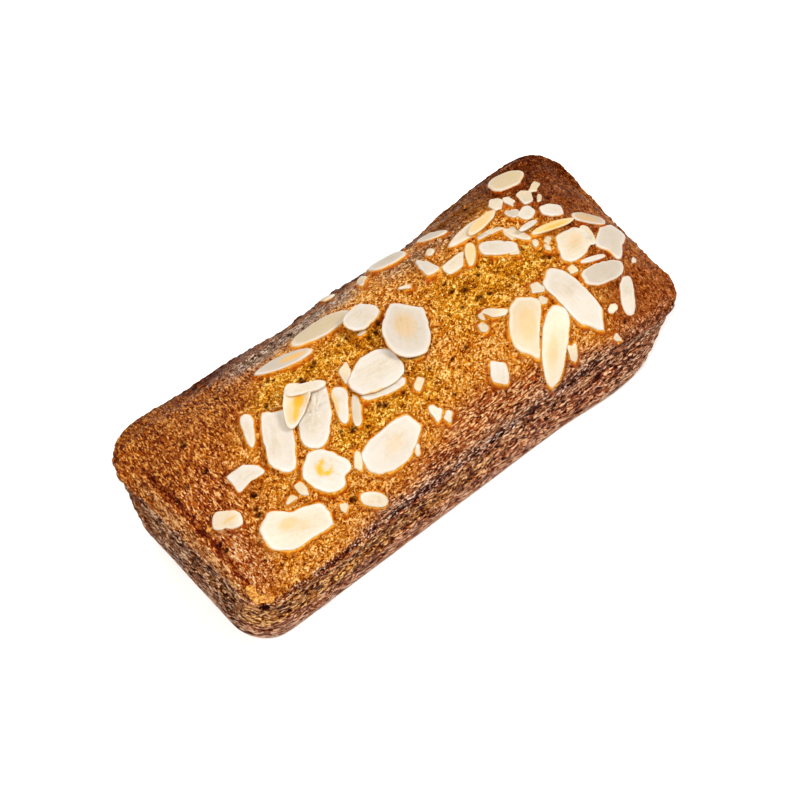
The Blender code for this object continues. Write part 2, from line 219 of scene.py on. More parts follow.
def shard(x, y, long, wide, turn):
    """A chip with three to five chords snapped off and a few bites and corners."""
    cuts = []
    for way in np.sort(chance.uniform(0.0, 360.0, chance.integers(3, 6))):
        extent = np.hypot(long / 2 * cos(radians(way)), wide / 2 * sin(radians(way)))
        cuts.append((way, extent * chance.uniform(0.7, 0.9)))
    dents = [(chance.uniform(0, 360), chance.uniform(-0.22, 0.3), chance.uniform(14, 28))
             for number in range(4)]
    return almond(x, y, long, wide, turn, blunt=2.5, cuts=tuple(cuts), dents=tuple(dents),
                  lift=chance.uniform(0.0, 0.3), thick=0.8)


# Small chips, each as (x, y, length, width, turn)
CHIPS = tuple(shard(*chip) for chip in (
    (54.8, 15.8, 5.6, 4.8, 60), (48.0, 12.9, 4.4, 3.6, -60), (50.8, 16.9, 4.4, 3.0, 80),
    (47.3, 18.2, 5.0, 3.8, 40), (59.7, 17.4, 6.2, 2.2, 22), (57.8, 13.4, 3.0, 1.6, 46),
    (23.6, -7.6, 6.8, 2.6, -34), (37.0, -8.6, 4.2, 3.2, -16), (36.2, -11.9, 2.8, 2.4, 86),
    (48.3, -9.4, 3.0, 2.5, -6), (50.7, -22.5, 3.6, 2.1, -10), (34.4, -25.2, 4.8, 2.7, 45),
    (47.2, -28.4, 2.1, 1.9, 30), (65.3, -14.9, 2.3, 1.4, 42), (18.2, -8.9, 2.9, 2.5, -50),
    (19.9, -6.5, 2.6, 1.7, 60), (-4.3, -10.9, 4.4, 2.5, 26), (-5.7, -18.4, 3.8, 2.8, 76),
    (-3.2, -20.6, 3.1, 2.2, 26), (-15.2, -22.8, 3.2, 1.4, 50), (-29.6, -17.2, 4.9, 2.3, 50),
    (-39.1, -23.0, 2.4, 2.1, 54), (-44.7, -14.0, 4.9, 2.4, -82), (-48.4, -14.4, 3.2, 1.7, -4),
    (-16.8, 2.6, 7.0, 3.2, 47), (-6.2, 8.9, 3.0, 1.3, 0), (11.4, 12.5, 3.7, 1.5, -24),
    (6.6, 23.4, 4.4, 2.3, 26), (-2.5, 26.0, 4.0, 2.0, -30), (46.0, 2.0, 3.4, 1.8, 64),
    (47.5, -0.9, 2.6, 2.0, 56), (37.8, 12.1, 7.6, 1.6, -10), (24.0, 17.2, 3.2, 2.2, 40),
    (39.8, 3.8, 4.6, 3.0, 70), (43.1, 8.2, 4.2, 3.4, 30), (49.2, 0.8, 3.2, 2.0, 30),
    (40.6, 11.4, 5.6, 1.4, -16),
))
print("chips", len(CHIPS))

# %% [markdown]
# ## The form of the loaf
# The loaf takes its plan from the tin: a rounded rectangle that narrows towards the base. The
# batter adds a lip over the tin's edge, a crease below it, a waist on the back where it shrank,
# and a dome that is fuller at the back than at the front. These are the formulas of the packed
# solid, repeated on arrays, so that the fine crust lies exactly where the solid does.

# %% Sizes and walls of the loaf
RIM_LENGTH, RIM_WIDTH, RIM_HEIGHT, RIM_CORNER = 144.0, 60.0, 32.5, 9.6
BASE_LENGTH, BASE_WIDTH, BASE_CORNER = 136.6, 51.6, 10.6
DOME_RISE = 13.0
GAP = 0.3


def side_push(x, y, level):
    """How far the long sides stand out from a straight loaf."""
    waist = -2.3 * hump(x, 22.0, 17.0) - 1.6 * hump(x, -14.0, 13.0)
    swell = 1.4 * hump(x, -60.0, 10.0) + 0.6 * hump(x, 56.0, 8.0)
    bow = 0.8 * hump(x, -48.0, 12.0) * level
    belly = 1.6 * hump(x, 51.0, 11.0) * hump(level, 0.25, 0.35)
    return np.where(y > 0.0, (0.4 + 0.6 * level) * (waist + swell), bow + belly + 0.2)


def wall_profile(level):
    """How far the wall stands out from the straight taper: lip, crease, belly and rounded foot."""
    lip = 0.7 * hump(level, 0.965, 0.035)
    crease = 0.5 * hump(level, 0.87, 0.05)
    belly = 0.5 * np.sin(pi * np.minimum(level, 0.8) / 0.8)
    foot = 1.7 * np.maximum(0.0, 1.0 - level / 0.06) ** 2
    return lip - crease + belly - foot


print("the lip stands out", round(float(wall_profile(np.float64(0.965))), 2), "mm")

# %% [markdown]
# A point is found from where it lies in the flat grid, from -1 to 1 each way, and from its level
# on the wall, 0 at the base and 1 at the rim. The dome rises from the rim's height.

# %% Plan and dome of the loaf
def plan_points(across, along, level):
    """Plan positions of points of the rounded rectangle, given from -1 to 1 each way."""
    grown = wall_profile(level)
    half_length = (BASE_LENGTH + (RIM_LENGTH - BASE_LENGTH) * level) / 2 + grown
    half_width = (BASE_WIDTH + (RIM_WIDTH - BASE_WIDTH) * level) / 2 + grown
    corner = BASE_CORNER + (RIM_CORNER - BASE_CORNER) * level
    y = half_width * np.sin(along * 0.8) / sin(0.8)
    into_corner = np.maximum(0.0, np.abs(y) - (half_width - corner))
    reach = half_length - corner + np.sqrt(np.maximum(0.0, corner**2 - into_corner**2))
    x = reach * np.sin(across * 0.5) / sin(0.5)
    end_push = level * (1.4 * hump(y, 20.0, 9.0) - 1.0 * hump(y, -18.0, 9.0))
    x = x + np.sign(x) * np.abs(across) ** 4 * end_push
    y = y + np.sign(y) * np.abs(along) ** 3 * side_push(x, y, level)
    return x, y


def dome_height(x, y):
    """Height of the smooth top of the loaf above its base."""
    u = np.minimum(np.abs(x) / (RIM_LENGTH / 2), 1.0)
    v = np.minimum(np.abs(y) / (RIM_WIDTH / 2 + side_push(x, y, 1.0)), 1.0)
    fullness = np.where(y > 0.0, 2.5, 2.1)
    return RIM_HEIGHT + DOME_RISE * (1 - u**3.6) ** 0.85 * (1 - v**fullness) ** 0.8


print("crest height", round(float(dome_height(np.float64(0.0), np.float64(0.0))), 1), "mm")

# %% [markdown]
# ## How far a point lies from a flake
# The crust needs to know the flakes: it lies flat under them, climbs a little at their edges
# where they were baked in, and turns to amber caramel round them. The distance could be
# measured to the flakes' meshes. A formula is quicker and needs no mesh: a blunted oval has one
# that is 1 on its outline, and its slope turns that to a distance in millimetres.

# %% Distance from the outlines
def ragged(flake, u, v):
    """How much further out than the smooth outline the true one is, in the direction of a point."""
    reach = np.maximum(np.hypot(u, v), 1e-6)
    across_way, along_way = u / reach, v / reach
    factor = 1.0 + 0.06 * ripple(1.4 * across_way, 1.4 * along_way, flake.x)
    factor += 0.05 * ripple(3.6 * across_way, 3.6 * along_way, flake.y)
    factor += 0.02 * ripple(9.0 * across_way, 9.0 * along_way, flake.x)
    bearing = np.degrees(np.arctan2(v, u)) + flake.turn
    for direction, share, width in flake.dents:
        factor += share * hump((bearing - direction + 180.0) % 360.0 - 180.0, 0.0, width)
    return factor


def beyond(flake, x, y):
    """Distance in mm outside a flake's outline, negative inside."""
    turn = radians(flake.turn)
    u = (x - flake.x) * cos(turn) + (y - flake.y) * sin(turn)
    v = (y - flake.y) * cos(turn) - (x - flake.x) * sin(turn)
    factor = ragged(flake, u, v)
    u, v = u / factor, v / factor
    half_long = flake.long / 2
    half_wide = flake.wide / 2 * np.clip(1.0 + flake.taper * u / half_long, 0.4, 1.6)
    power = flake.blunt
    share_u = np.abs(u) / half_long
    share_v = np.abs(v) / half_wide
    radius = np.maximum((share_u**power + share_v**power) ** (1 / power), 0.05)
    slope = np.hypot((share_u / radius) ** (power - 1) / half_long,
                     (share_v / radius) ** (power - 1) / half_wide)
    outside = (radius - 1.0) / np.maximum(slope, 0.05)
    for direction, distance in flake.cuts:
        outside = np.maximum(outside, u * cos(radians(direction)) + v * sin(radians(direction)) - distance)
    return outside


first = FLAKES[0]
apart = float(beyond(first, np.array([first.x + 20.0]), np.array([first.y]))[0])
print("20 mm beside its middle, the first flake's edge is", round(apart, 1), "mm away")

# %% [markdown]
# Some flakes fell on a neighbour and were baked leaning on it, and one curled up in the heat.
# They are tilted and bent by a formula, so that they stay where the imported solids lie.

# %% The raised part of a flake
def raised(flake, x, y):
    """How high the flake's underside is held above its place on the dome."""
    height, direction = flake.lean
    way = radians(direction)
    side = radians(direction - flake.turn)
    extent = np.hypot(flake.long / 2 * cos(side), flake.wide / 2 * sin(side))
    towards = (x - flake.x) * cos(way) + (y - flake.y) * sin(way)
    turn = radians(flake.turn)
    v = (y - flake.y) * cos(turn) - (x - flake.x) * sin(turn)
    return flake.lift + height * (0.5 + 0.5 * towards / extent) + flake.curl * (2 * v / flake.wide) ** 2


held = [round(float(raised(flake, flake.x, flake.y)), 2) for flake in FLAKES]
print("raised flakes", sum(height > 0.0 for height in held), "highest by", max(held), "mm at its middle")

# %% [markdown]
# ## The loaf's coarse relief
# A rising crust wrinkles in long folds beside the tin and lumps up where it burst. This is the
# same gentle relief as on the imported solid, repeated so that the two agree. It fades out under
# the flakes, which lie flat.

# %% Lumps, folds and dents
def calm(x, y):
    """0 under a flake and 1 well clear of all of them."""
    least = np.ones_like(x)
    for flake in FLAKES:
        turn = radians(flake.turn)
        u = ((x - flake.x) * cos(turn) + (y - flake.y) * sin(turn)) / (flake.long / 2 + 2.2)
        v = ((y - flake.y) * cos(turn) - (x - flake.x) * sin(turn)) / (flake.wide / 2 + 2.2)
        least = np.minimum(least, ease(u * u + v * v, 1.0, 1.8))
    return least


def top_relief(x, y):
    """Lumps, the burst crest and the long wrinkles of the crust."""
    burst_line = -6.0 + 9.0 * ease(x, 5.0, 38.0)
    lumps = 0.5 * ripple(x / 12.0, y / 9.0, 3.1)
    burst = 0.9 * ripple(x / 5.5, y / 4.5, 7.7) * hump(y, burst_line, 6.0)
    front = 0.9 * ripple(x / 17.0, y / 2.6, 1.3) * ease(-y, 15.0, 24.0)
    rear = 1.1 * ripple(x / 20.0, y / 3.0, 5.9) * ease(y, 17.0, 24.0)
    ends = 0.7 * ripple(x / 4.0, y / 9.0, 9.2) * ease(np.abs(x), 58.0, 68.0)
    return (lumps + burst + front + rear + ends) * calm(x, y)


def wall_relief(x, y, level):
    """Long wrinkles and shallow dents round the wall, fading to a flat foot."""
    run = x + 1.6 * y
    wrinkle = 0.55 * ripple(run / 16.0, level * 11.0, 2.2)
    dent = 0.5 * ripple(run / 6.0, level * 5.0, 8.4)
    return (wrinkle + dent) * ease(level, 0.03, 0.2)


print("relief left under the first flake", float(calm(np.array([first.x]), np.array([first.y]))[0]))

# %% [markdown]
# ## Two fine sheets for the crust
# A loaf baked in a tin has a top crust that swells over the edge, and a softer side that the
# metal pressed flat. They meet in a crease under the lip, so each gets a sheet of its own. Both
# start as a flat grid. Its edge is drawn down level by level and closed by one face below, and
# each point is then moved to its place by the formulas. One more face closes the top of the
# side, which is hidden. One quad of the top crust is a third of a millimetre, so wrinkles, pits
# and crumbs of a millimetre are real form and not paint.

# %% Draw the sheets
def drawn_sheet(name, columns, rows, levels, capped=False):
    """A closed box of fine quads: a grid at the first level and a wall down the levels."""
    bm = bmesh.new()
    bmesh.ops.create_grid(bm, x_segments=columns, y_segments=rows, size=1.0)
    for vert in bm.verts:
        vert.co.z = levels[0]
    lid = bm.faces[:]
    rim = [edge for edge in bm.edges if edge.is_boundary]
    edges = rim
    for value in levels[1:]:
        drawn = bmesh.ops.extrude_edge_only(bm, edges=edges)["geom"]
        for vert in drawn:
            if isinstance(vert, bmesh.types.BMVert):
                vert.co.z = value
        edges = [edge for edge in drawn if isinstance(edge, bmesh.types.BMEdge) and edge.is_boundary]
    bmesh.ops.contextual_create(bm, geom=edges)
    if capped:
        bmesh.ops.delete(bm, geom=lid, context="FACES")
        bmesh.ops.contextual_create(bm, geom=[edge for edge in bm.edges if edge.is_boundary])
    bmesh.ops.recalc_face_normals(bm, faces=bm.faces)
    mesh = bpy.data.meshes.new(name)
    bm.to_mesh(mesh)
    bm.free()
    return mesh


TOP_GRID = (430, 182)
TOP_LEVELS = np.linspace(1.0, 0.83, 14)
SIDE_GRID = (318, 134)
SIDE_LEVELS = np.linspace(0.91, 0.0, 58)
top_mesh = drawn_sheet("top_crust", *TOP_GRID, TOP_LEVELS)
side_mesh = drawn_sheet("side_crust", *SIDE_GRID, SIDE_LEVELS, capped=True)
sheets = (top_mesh, side_mesh)
parts = (slice(0, len(top_mesh.vertices)), slice(len(top_mesh.vertices), None))
print("faces of the sheets", [len(sheet.polygons) for sheet in sheets])

# %% [markdown]
# Each sheet is now laid on the loaf. The points of the lid go to the dome, and those of the wall
# to the height of their level. The edge of each sheet that would show a cut is tucked 0.9 mm
# under the other one, so no gap opens at the crease.

# %% Lay the sheets on the loaf
def read_points(mesh):
    """The mesh's points as an array of rows."""
    flat = np.empty(len(mesh.vertices) * 3)
    mesh.vertices.foreach_get("co", flat)
    return flat.reshape(-1, 3)


def write_points(mesh, points):
    """Moves the mesh's points, given in millimetres."""
    mesh.vertices.foreach_set("co", (points * MM).ravel())
    mesh.update()


TUCK = 0.9
across, along, level = np.concatenate([read_points(sheet) for sheet in sheets]).T
is_side = np.arange(len(level)) >= len(top_mesh.vertices)
x, y = plan_points(across, along, level)
crown = dome_height(x, y)
inside = 0.3 + 0.7 * ease(1.0 - np.maximum(np.abs(across), np.abs(along)), 0.0, 0.1)
lumps = top_relief(x, y)
on_top = level > 0.999
top_z = crown + lumps * inside
wall_z = RIM_HEIGHT * level + (crown - RIM_HEIGHT + 0.3 * lumps) * ease(level, 0.85, 1.0)
away = np.stack([x * np.abs(across) ** 12, y * np.abs(along) ** 12], axis=1)
away /= np.maximum(np.linalg.norm(away, axis=1, keepdims=True), 1e-9)
tucked = np.where(is_side, ease(level, 0.855, 0.905), ease(-level, -0.895, -0.845))
push = np.where(on_top, 0.0, wall_relief(x, y, level) - TUCK * tucked)[:, None]
skin = np.column_stack([np.stack([x, y], axis=1) + away * push, np.where(on_top, top_z, wall_z)])
for sheet, part in zip(sheets, parts):
    write_points(sheet, skin[part])
print("points", len(skin), "highest at", round(float(skin[:, 2].max()), 1), "mm")

# %% [markdown]
# ## Zones of the crust
# Browning follows heat and sugar. The burst crest stays golden, because its crumb was inside
# the batter until late. The slopes are orange brown. The ends touched hot metal and are dark,
# and the left end is darkest at the back. The zones could be painted by hand. Here each is a
# soft mask from 0 to 1 on the mesh's points, because the crust's shape and its colours both
# use it.

# %% Masks of the burst and the ends
x, y, z = skin.T
wall = 1.0 - ease(level, 0.95, 0.995)
sway = ripple(x / 7.0, y / 7.0, 4.4)
slow = ripple(x / 15.0, y / 10.0, 6.6)
front_edge = RIM_WIDTH / 2 + side_push(x, y, 1.0) + y
left_edge = RIM_LENGTH / 2 + x
rear_crack = 11.8 - 0.13 * (x + 40.0)
rear_band = hump(y, rear_crack + sway, 4.2) * ease(x, -50.0, -38.0) * (1 - ease(x, -4.0, 7.0))
front_band = hump(y, -10.8 + sway, 3.8) * ease(x, -37.0, -28.0) * (1 - ease(x, -6.0, 5.0))
right_band = hump(y, 0.5 + sway, 7.0) * ease(x, 8.0, 18.0) * (1 - ease(x, 44.0, 54.0))
middle = 0.15 * hump(y, 1.0, 13.0) * ease(x, -58.0, -40.0) * (1 - ease(x, 46.0, 60.0))
golden = np.clip(rear_band + front_band + right_band + middle + 0.3 * slow, 0.0, 1.0) * (1 - wall)
left_start = 1.4 * np.maximum(y - 4.0, 0.0) - 0.5 * np.maximum(-6.0 - y, 0.0) - x
left_end = np.clip(ease(left_start, 44.0, 62.0) + 0.35 * slow * ease(-x, 30.0, 50.0), 0.0, 1.0)
left_top = ease(y + 2.0 * sway, 4.0, 12.0) * left_end
left_low = ease(-y + 2.0 * sway, 5.0, 11.0) * (1 - ease(-y + 2.0 * sway, 22.0, 29.0)) * ease(-x, 58.0, 65.0)
right_end = np.clip(ease(x + 0.35 * np.abs(y), 50.0, 64.0) + 0.25 * slow * ease(x, 42.0, 60.0), 0.0, 1.0)
for name, mask in (("golden", golden), ("left end", left_end), ("right end", right_end)):
    print("share of the top,", name, round(float(mask[on_top].mean()), 2))

# %% [markdown]
# The front slope is folded and glossy, and its rim is almost black. A band of the back slope is
# greyish brown, which is painted sheen, the grey of a grazing reflection, and the back is dark
# brown on its right half. A red lip with a fine groove inside it runs along the left rim. The mask
# called fine says how strongly the grit shows, folds is where the wrinkles run along the loaf, and
# across_end is where they run across it.

# %% Masks of the slopes and the rims
front_start = 23.0 - 6.0 * hump(x, 8.0, 20.0)
front = ease(-y + 1.5 * sway - front_start, 0.0, 7.0) * (1 - 0.95 * ease(-x, 28.0, 40.0))
front *= 1 - 0.5 * right_end
front *= 1 - wall
rim_dark = ease(-y + 1.5 * sway, 26.0, 29.8) * (1 - 0.9 * ease(-x, 32.0, 44.0))
rim_dark *= 1 - 0.4 * ease(x, 50.0, 62.0)
# the grey back band: painted sheen of a grazing reflection, and the wrinkles also run along it
back_sheen_band = np.maximum(hump(y, 24.0 + 1.5 * sway, 3.3) * (1 - ease(np.abs(x + 17.0), 15.0, 26.0)),
                      0.6 * hump(y, 20.5 + sway, 3.0) * (1 - ease(np.abs(x - 24.0), 9.0, 17.0))) * (1 - wall)
rear_start = 24.0 - 6.5 * ease(x, 20.0, 34.0)
rear_dark = ease(y + sway - rear_start, 0.0, 4.5) * (1 - 0.75 * ease(-x, 42.0, 54.0))
rear_dark *= 1 - 0.3 * ease(x, 20.0, 34.0)
rear_dark = np.maximum(rear_dark, 0.45 * right_end * ease(y + 2.0 * sway, 0.0, 14.0)) * (1 - wall)
# rim_line is a thin dark line along the front lip, where a groove is also cut: painted shade in the groove,
# with painted glints as its lightest colour. Its strength wavers along the loaf.
rim_line_strength = ease(ripple(x / 5.0, 3.0, 1.7) + 0.45, -0.1, 0.5) * ease(x, -69.0, -60.0)
rim_line_strength *= 1 - 0.85 * ease(x, 30.0, 52.0)
rim_line = (0.3 + 0.7 * rim_line_strength) * hump(front_edge, 0.2, 0.65) * ease(level, 0.96, 0.99) * (y < -15.0)
rim_red = hump(left_edge, 1.2, 1.4) * ease(level, 0.96, 0.99) * (1 - ease(y, 14.0, 22.0))
rim_groove = hump(left_edge + 0.5 * sway, 3.5, 0.7) * (1 - ease(y, 14.0, 22.0)) * (1 - wall)
folds = np.maximum(front, 0.8 * np.maximum(back_sheen_band, rear_dark))
across_end = np.maximum(left_end, 0.7 * right_end) * (1 - folds) * (1 - wall)
fine = 1.1 - 0.35 * golden + 0.5 * front - 0.5 * np.maximum(right_end, rear_dark)
fine = fine - 0.4 * rim_red + 0.3 * left_end
fine = np.where(wall > 0.5, 1.2, fine)
for name, mask in (("front slope", front), ("dark front rim", rim_dark), ("dark back", rear_dark)):
    print("share of the top,", name, round(float(mask[on_top].mean()), 2))

# %% [markdown]
# The tin pressed the wall flat. Its upper half is grainy with tan crumbs towards the left, a
# greyish band of painted sheen lies under the lip, the lower part is smooth, and the end walls are
# darker. The foot, which sat on the tin's floor, is one even brown. The mask called bold holds back
# the contrast of the back and the right wall, which the lamps rake less.

# %% Masks of the wall
grainy = ease(level + 0.1 * sway, 0.3, 0.6) * (1 - ease(level, 0.84, 0.92))
grainy *= 1 - ease(x + 6.0 * sway, -20.0, 25.0)
# painted sheen: a greyish band of reflection under the lip
wall_grey_sheen = 0.65 * hump(level, 0.78 + 0.05 * sway, 0.09)
smooth = 1 - ease(level + 0.12 * sway, 0.12, 0.5)
end_wall = np.maximum(0.75 * ease(-x, 60.0, 66.0) * (1 - ease(-y, 17.0, 25.0)), 0.5 * ease(x, 42.0, 54.0))
foot = (1.0 - ease(z, 1.2, 3.6)) * (1 - 0.8 * end_wall)
bold = 1.0 - 0.45 * wall * np.maximum(ease(y, 5.0, 22.0), ease(x, 60.0, 68.0))
print("grainy share of the wall", round(float(grainy[is_side].mean()), 2))

# %% [markdown]
# Batter climbs the edge of a flake that lies in it, and boils to caramel there. Seat is how high
# the crust stands up round each almond, in millimetres. Nearness is 1 at its edge, fades to 0 at
# 2 mm, and is weaker on the dark ends. A flake that is held up leaves the crust alone.

# %% Closeness to the flakes and chips
nearest = np.full(len(x), 9.0)
seat = np.zeros(len(x))
near_top = z > RIM_HEIGHT - 3.0
for flake in FLAKES + CHIPS:
    close = near_top & (np.hypot(x - flake.x, y - flake.y) < flake.long / 2 + 6.0)
    outside = beyond(flake, x[close], y[close])
    low = 1.0 - ease(raised(flake, x[close], y[close]), 0.2, 0.9)
    nearest[close] = np.minimum(nearest[close], outside + 1.2 * (1.0 - low))
    bank = 0.25 + 0.6 * flake.thick if flake in FLAKES else 0.5
    seat[close] = np.maximum(seat[close], bank * low * (1.0 - ease(outside, 0.0, 1.3)))
dull = np.maximum(np.maximum(left_end, right_end), rear_dark)
nearness = np.clip(1.0 - nearest / 2.0, 0.0, 1.0) * (1 - 0.35 * dull)
print("points under or beside almonds", int((nearest < 0.5).sum()))

# %% [markdown]
# ## Pits
# Bubbles broke through the crust and left small dark holes: most along the burst, some on the
# rest of the top, and many in the wall, where the tin held the steam. Paint could do, but
# holes catch real shade, so the mesh is pressed in. The crust's finish also darkens them with
# painted shade. Twelve are where the picture shows them.
# The rest are drawn by chance, from one seed, so the loaf is the same each time. They are drawn
# out along the wall that they lie in.

# %% Open the pits
chance = np.random.default_rng(41)
SEEN_PITS = ((22.6, 2.7), (-25.2, -10.3), (-36.1, -22.9), (-68.0, -10.4), (-67.4, -12.6), (-58.7, 6.0),
             (-58.1, 15.3), (-14.7, -10.0), (-54.4, -7.3), (-56.6, -11.8), (-1.0, 8.7), (-26.0, 8.0))
clear = (nearest > 1.0) & (z > 2.5)
chosen = [int(np.argmin(np.hypot(x - px, y - py) + 100.0 * ~on_top)) for px, py in SEEN_PITS]
under_lip = clear & (level > 0.5) & (level < 0.88)
for mask, count in ((on_top & clear, 30), (on_top & clear & (golden > 0.6), 26), (under_lip, 120),
                    (clear & (level < 0.5), 60)):
    chosen += chance.choice(np.flatnonzero(mask), count, replace=False).tolist()
pit_shade = np.zeros(len(x))
pit_depth = np.zeros(len(x))
for number, spot in enumerate(chosen):
    radius = chance.uniform(0.35, 0.65) if number >= len(SEEN_PITS) else 0.75
    long_way = np.array([0.55, 1.0, 1.0]) if abs(across[spot]) < 1.0 else np.array([1.0, 0.55, 1.0])
    if wall[spot] < 0.5:
        long_way = np.array([0.8, 1.0, 1.0])
    if under_lip[spot] and chance.random() < 0.4:
        radius *= 1.9
    away_from = np.linalg.norm((skin - skin[spot]) * long_way, axis=1)
    bowl = np.clip(1.0 - (away_from / (radius * 1.25)) ** 2, 0.0, 1.0)
    pit_shade = np.maximum(pit_shade, bowl)
    pit_depth = np.maximum(pit_depth, bowl * radius * chance.uniform(0.7, 1.0))
print("pits", len(chosen))

# %% [markdown]
# ## The crust's fine relief
# Now the form that makes it a baked crust. The burst is a rough open crumb. The front slope has
# glossy folds that run along the loaf, deepest towards the rim. The ends have short
# wrinkles across, and the wall has flat folds in layers, as the batter climbed the tin. They
# could be bump in the material, but then the outline would stay smooth. Each is noise
# stretched the way the folds run, and all move the skin along its own normal.

# %% Folds, crumb and grain
def read_normals(mesh):
    """The mesh's vertex normals as an array of rows."""
    flat = np.empty(len(mesh.vertices) * 3)
    mesh.vertices.foreach_get("normal", flat)
    return flat.reshape(-1, 3)


normals = np.concatenate([read_normals(sheet) for sheet in sheets])
warp_x = x + 1.1 * ripple(x / 3.1, y / 3.1, 1.0)
warp_y = y + 1.1 * ripple(x / 3.1, y / 3.1, 8.0)
side_fold = 0.6 * fold(warp_x / 7.0 + 3.0, y / 1.35, z / 1.35)
side_fold += 0.4 * fold(warp_x / 3.6, y / 0.85, z / 0.85 + 5.0)
curls = 0.7 * fold(warp_x / 2.1, warp_y / 1.35, z / 1.6 + 9.0)
curls += 0.4 * fold(warp_x / 1.1 + 4.0, warp_y / 1.1, z / 1.2)
end_fold = 0.7 * fold(warp_x / 1.35, warp_y / 3.8, z / 1.6 + 2.0)
end_fold += 0.4 * fold(warp_x / 0.85 + 4.0, warp_y / 1.9, z / 1.2)
curls += across_end * (end_fold - curls)
crumb = ripple(x / 1.25, y / 1.25, z / 1.25) + 0.7 * ripple(x / 0.75, y / 0.75, z / 0.75 + 7.0)
grain = ripple(x / 0.9 + 8.0, y / 0.9, z / 0.9) + 0.6 * fold(x / 1.8, y / 1.5, z / 1.8)
crack = fold(warp_x / 3.6, warp_y / 2.6, 2.5) * golden
top_form = 0.24 * grain + 0.26 * golden * crumb + 0.4 * crack + (0.34 + 0.12 * rim_dark) * side_fold * folds
top_form += 0.42 * curls * (1 - folds) * (1 - golden) * (0.45 + 0.35 * np.maximum(left_end, right_end))
top_form += 0.35 * rim_red - 0.4 * rim_groove - 0.35 * rim_line
print("folds of the top up to", round(float(-top_form.min()), 2), "mm deep")

# %% [markdown]
# The wall's layers are thin and lie level. Where the batter lifted off the tin, the front wall
# has a few arched tears, each given by its place along the wall, its share of the height, how
# far it reaches and how high it is.

# %% Layers and tears of the wall
TEARS = ((42.5, 0.66, 4.5, 0.045), (53.5, 0.72, 3.2, 0.05), (12.0, 0.62, 2.6, 0.04), (-1.5, 0.58, 2.2, 0.035),
         (-19.0, 0.64, 2.4, 0.04), (-33.0, 0.7, 2.2, 0.03), (31.0, 0.55, 2.6, 0.035))
layers = fold(x / 5.0, y / 5.0, z / 1.25) + 0.6 * fold(x / 2.4 + 3.0, y / 2.4, z / 0.85 + 5.0)
wall_form = 0.55 * layers * (1 - 0.5 * smooth) + (0.16 + 0.16 * grainy) * crumb
for place_x, place_level, reach, height in TEARS:
    arc = level + 0.003 * (x - place_x) ** 2 / reach
    wall_form -= 0.8 * hump(x, place_x, reach) * hump(arc, place_level, height) * (y < 0.0)
relief = (1 - wall) * top_form * (0.45 + 0.55 * ease(nearest, 0.0, 0.8))
relief += wall * ease(level, 0.04, 0.12) * wall_form
depth = relief - pit_depth * ease(nearest, 0.3, 1.0)
for sheet, part in zip(sheets, parts):
    write_points(sheet, (skin + normals * (depth + seat)[:, None])[part])
print("relief from", round(float(depth.min()), 2), "to", round(float(depth.max()), 2), "mm")

# %% [markdown]
# The masks are kept on the mesh as named attributes, and the material reads them by name. They
# could be baked to an image, but a fine mesh holds them as sharply as the picture needs. One mask
# is the height of the relief, laid into the colour as painted light on the folds and painted shade
# in the creases and in the groove inside the left lip. Shine is how strongly the surface reflects:
# more on the greasy folds, less on the dull dark back edge.

# %% Keep the masks on the mesh
def keep(mesh, name, values):
    """Stores one number or one vector for each point of the mesh under a name."""
    kind, field = ("FLOAT_VECTOR", "vector") if values.ndim == 2 else ("FLOAT", "value")
    layer = mesh.attributes.new(name, kind, "POINT")
    layer.data.foreach_set(field, np.ascontiguousarray(values, dtype=np.float32).ravel())


TOP_MASKS = {"golden": golden, "left_end": left_end, "left_top": left_top, "left_low": left_low,
             "right_end": right_end, "front": front, "rim_dark": rim_dark, "back_sheen_band": back_sheen_band,
             "rear_dark": rear_dark, "rim_red": rim_red, "rim_line": rim_line, "near": nearness,
             "across_end": across_end,
             "shine": 0.45 + 0.4 * np.maximum(folds, 0.8 * left_end) - 0.6 * rear_dark}
SIDE_MASKS = {"grainy": grainy, "wall_grey_sheen": wall_grey_sheen, "smooth": smooth, "end_wall": end_wall, "foot": foot}
# painted light and shade: lighter where the relief stands up, darker in creases and in the left lip's groove
relief_shading = np.clip((depth + 0.2) / 0.5, -1.0, 1.0) - 0.9 * rim_groove
SHARED_MASKS = {"pit_shade": pit_shade, "fine": fine, "bold": bold, "relief_shading": relief_shading,
                "folds": np.where(is_side, smooth, folds)}
for sheet, part in zip(sheets, parts):
    for name, values in {**TOP_MASKS, **SIDE_MASKS, **SHARED_MASKS}.items():
        keep(sheet, name, values[part])
print("masks", len(top_mesh.attributes))

# %% [markdown]
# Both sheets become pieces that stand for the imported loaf. The top sheet runs on down past the
# lip, where the crust already looks like the side, so its faces below a wavering level take the
# second finish. That puts the change of colour on the lip and not on the seam.

# %% Make the two pieces
BELOW_LIP = 0.975
lip_level = level + 0.012 * ripple(x / 2.5, y / 2.5, z / 2.5)
crusts = []
for sheet, part in zip(sheets, parts):
    sheet.shade_smooth()
    corners = np.empty(len(sheet.loops), dtype=np.int32)
    sheet.loops.foreach_get("vertex_index", corners)
    starts = np.empty(len(sheet.polygons), dtype=np.int32)
    sheet.polygons.foreach_get("loop_start", starts)
    lowest = np.minimum.reduceat(lip_level[part][corners], starts)
    sheet.polygons.foreach_set("material_index", (lowest < BELOW_LIP).astype(np.int32))
    piece = bpy.data.objects.new(sheet.name, sheet)
    bpy.context.scene.collection.objects.link(piece)
    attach(piece, "root")
    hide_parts("loaf")
    crusts.append(piece)
print("pieces of crust", len(crusts))

# %% [markdown]
# ## Colours and nodes
# Colours are written as sRGB hex, as a picture shows them, and one function turns them to the
# linear light that shaders work in. Nodes could be added one by one with five lines each. One
# function adds any node with its settings and links instead, so a material reads as a list.

# %% One function for colours and one for nodes
def linear(code):
    """An sRGB hex colour as linear light, with alpha."""
    channels = [int(code[start:start + 2], 16) / 255 for start in (1, 3, 5)]
    return [c / 12.92 if c <= 0.04045 else ((c + 0.055) / 1.055) ** 2.4 for c in channels] + [1.0]


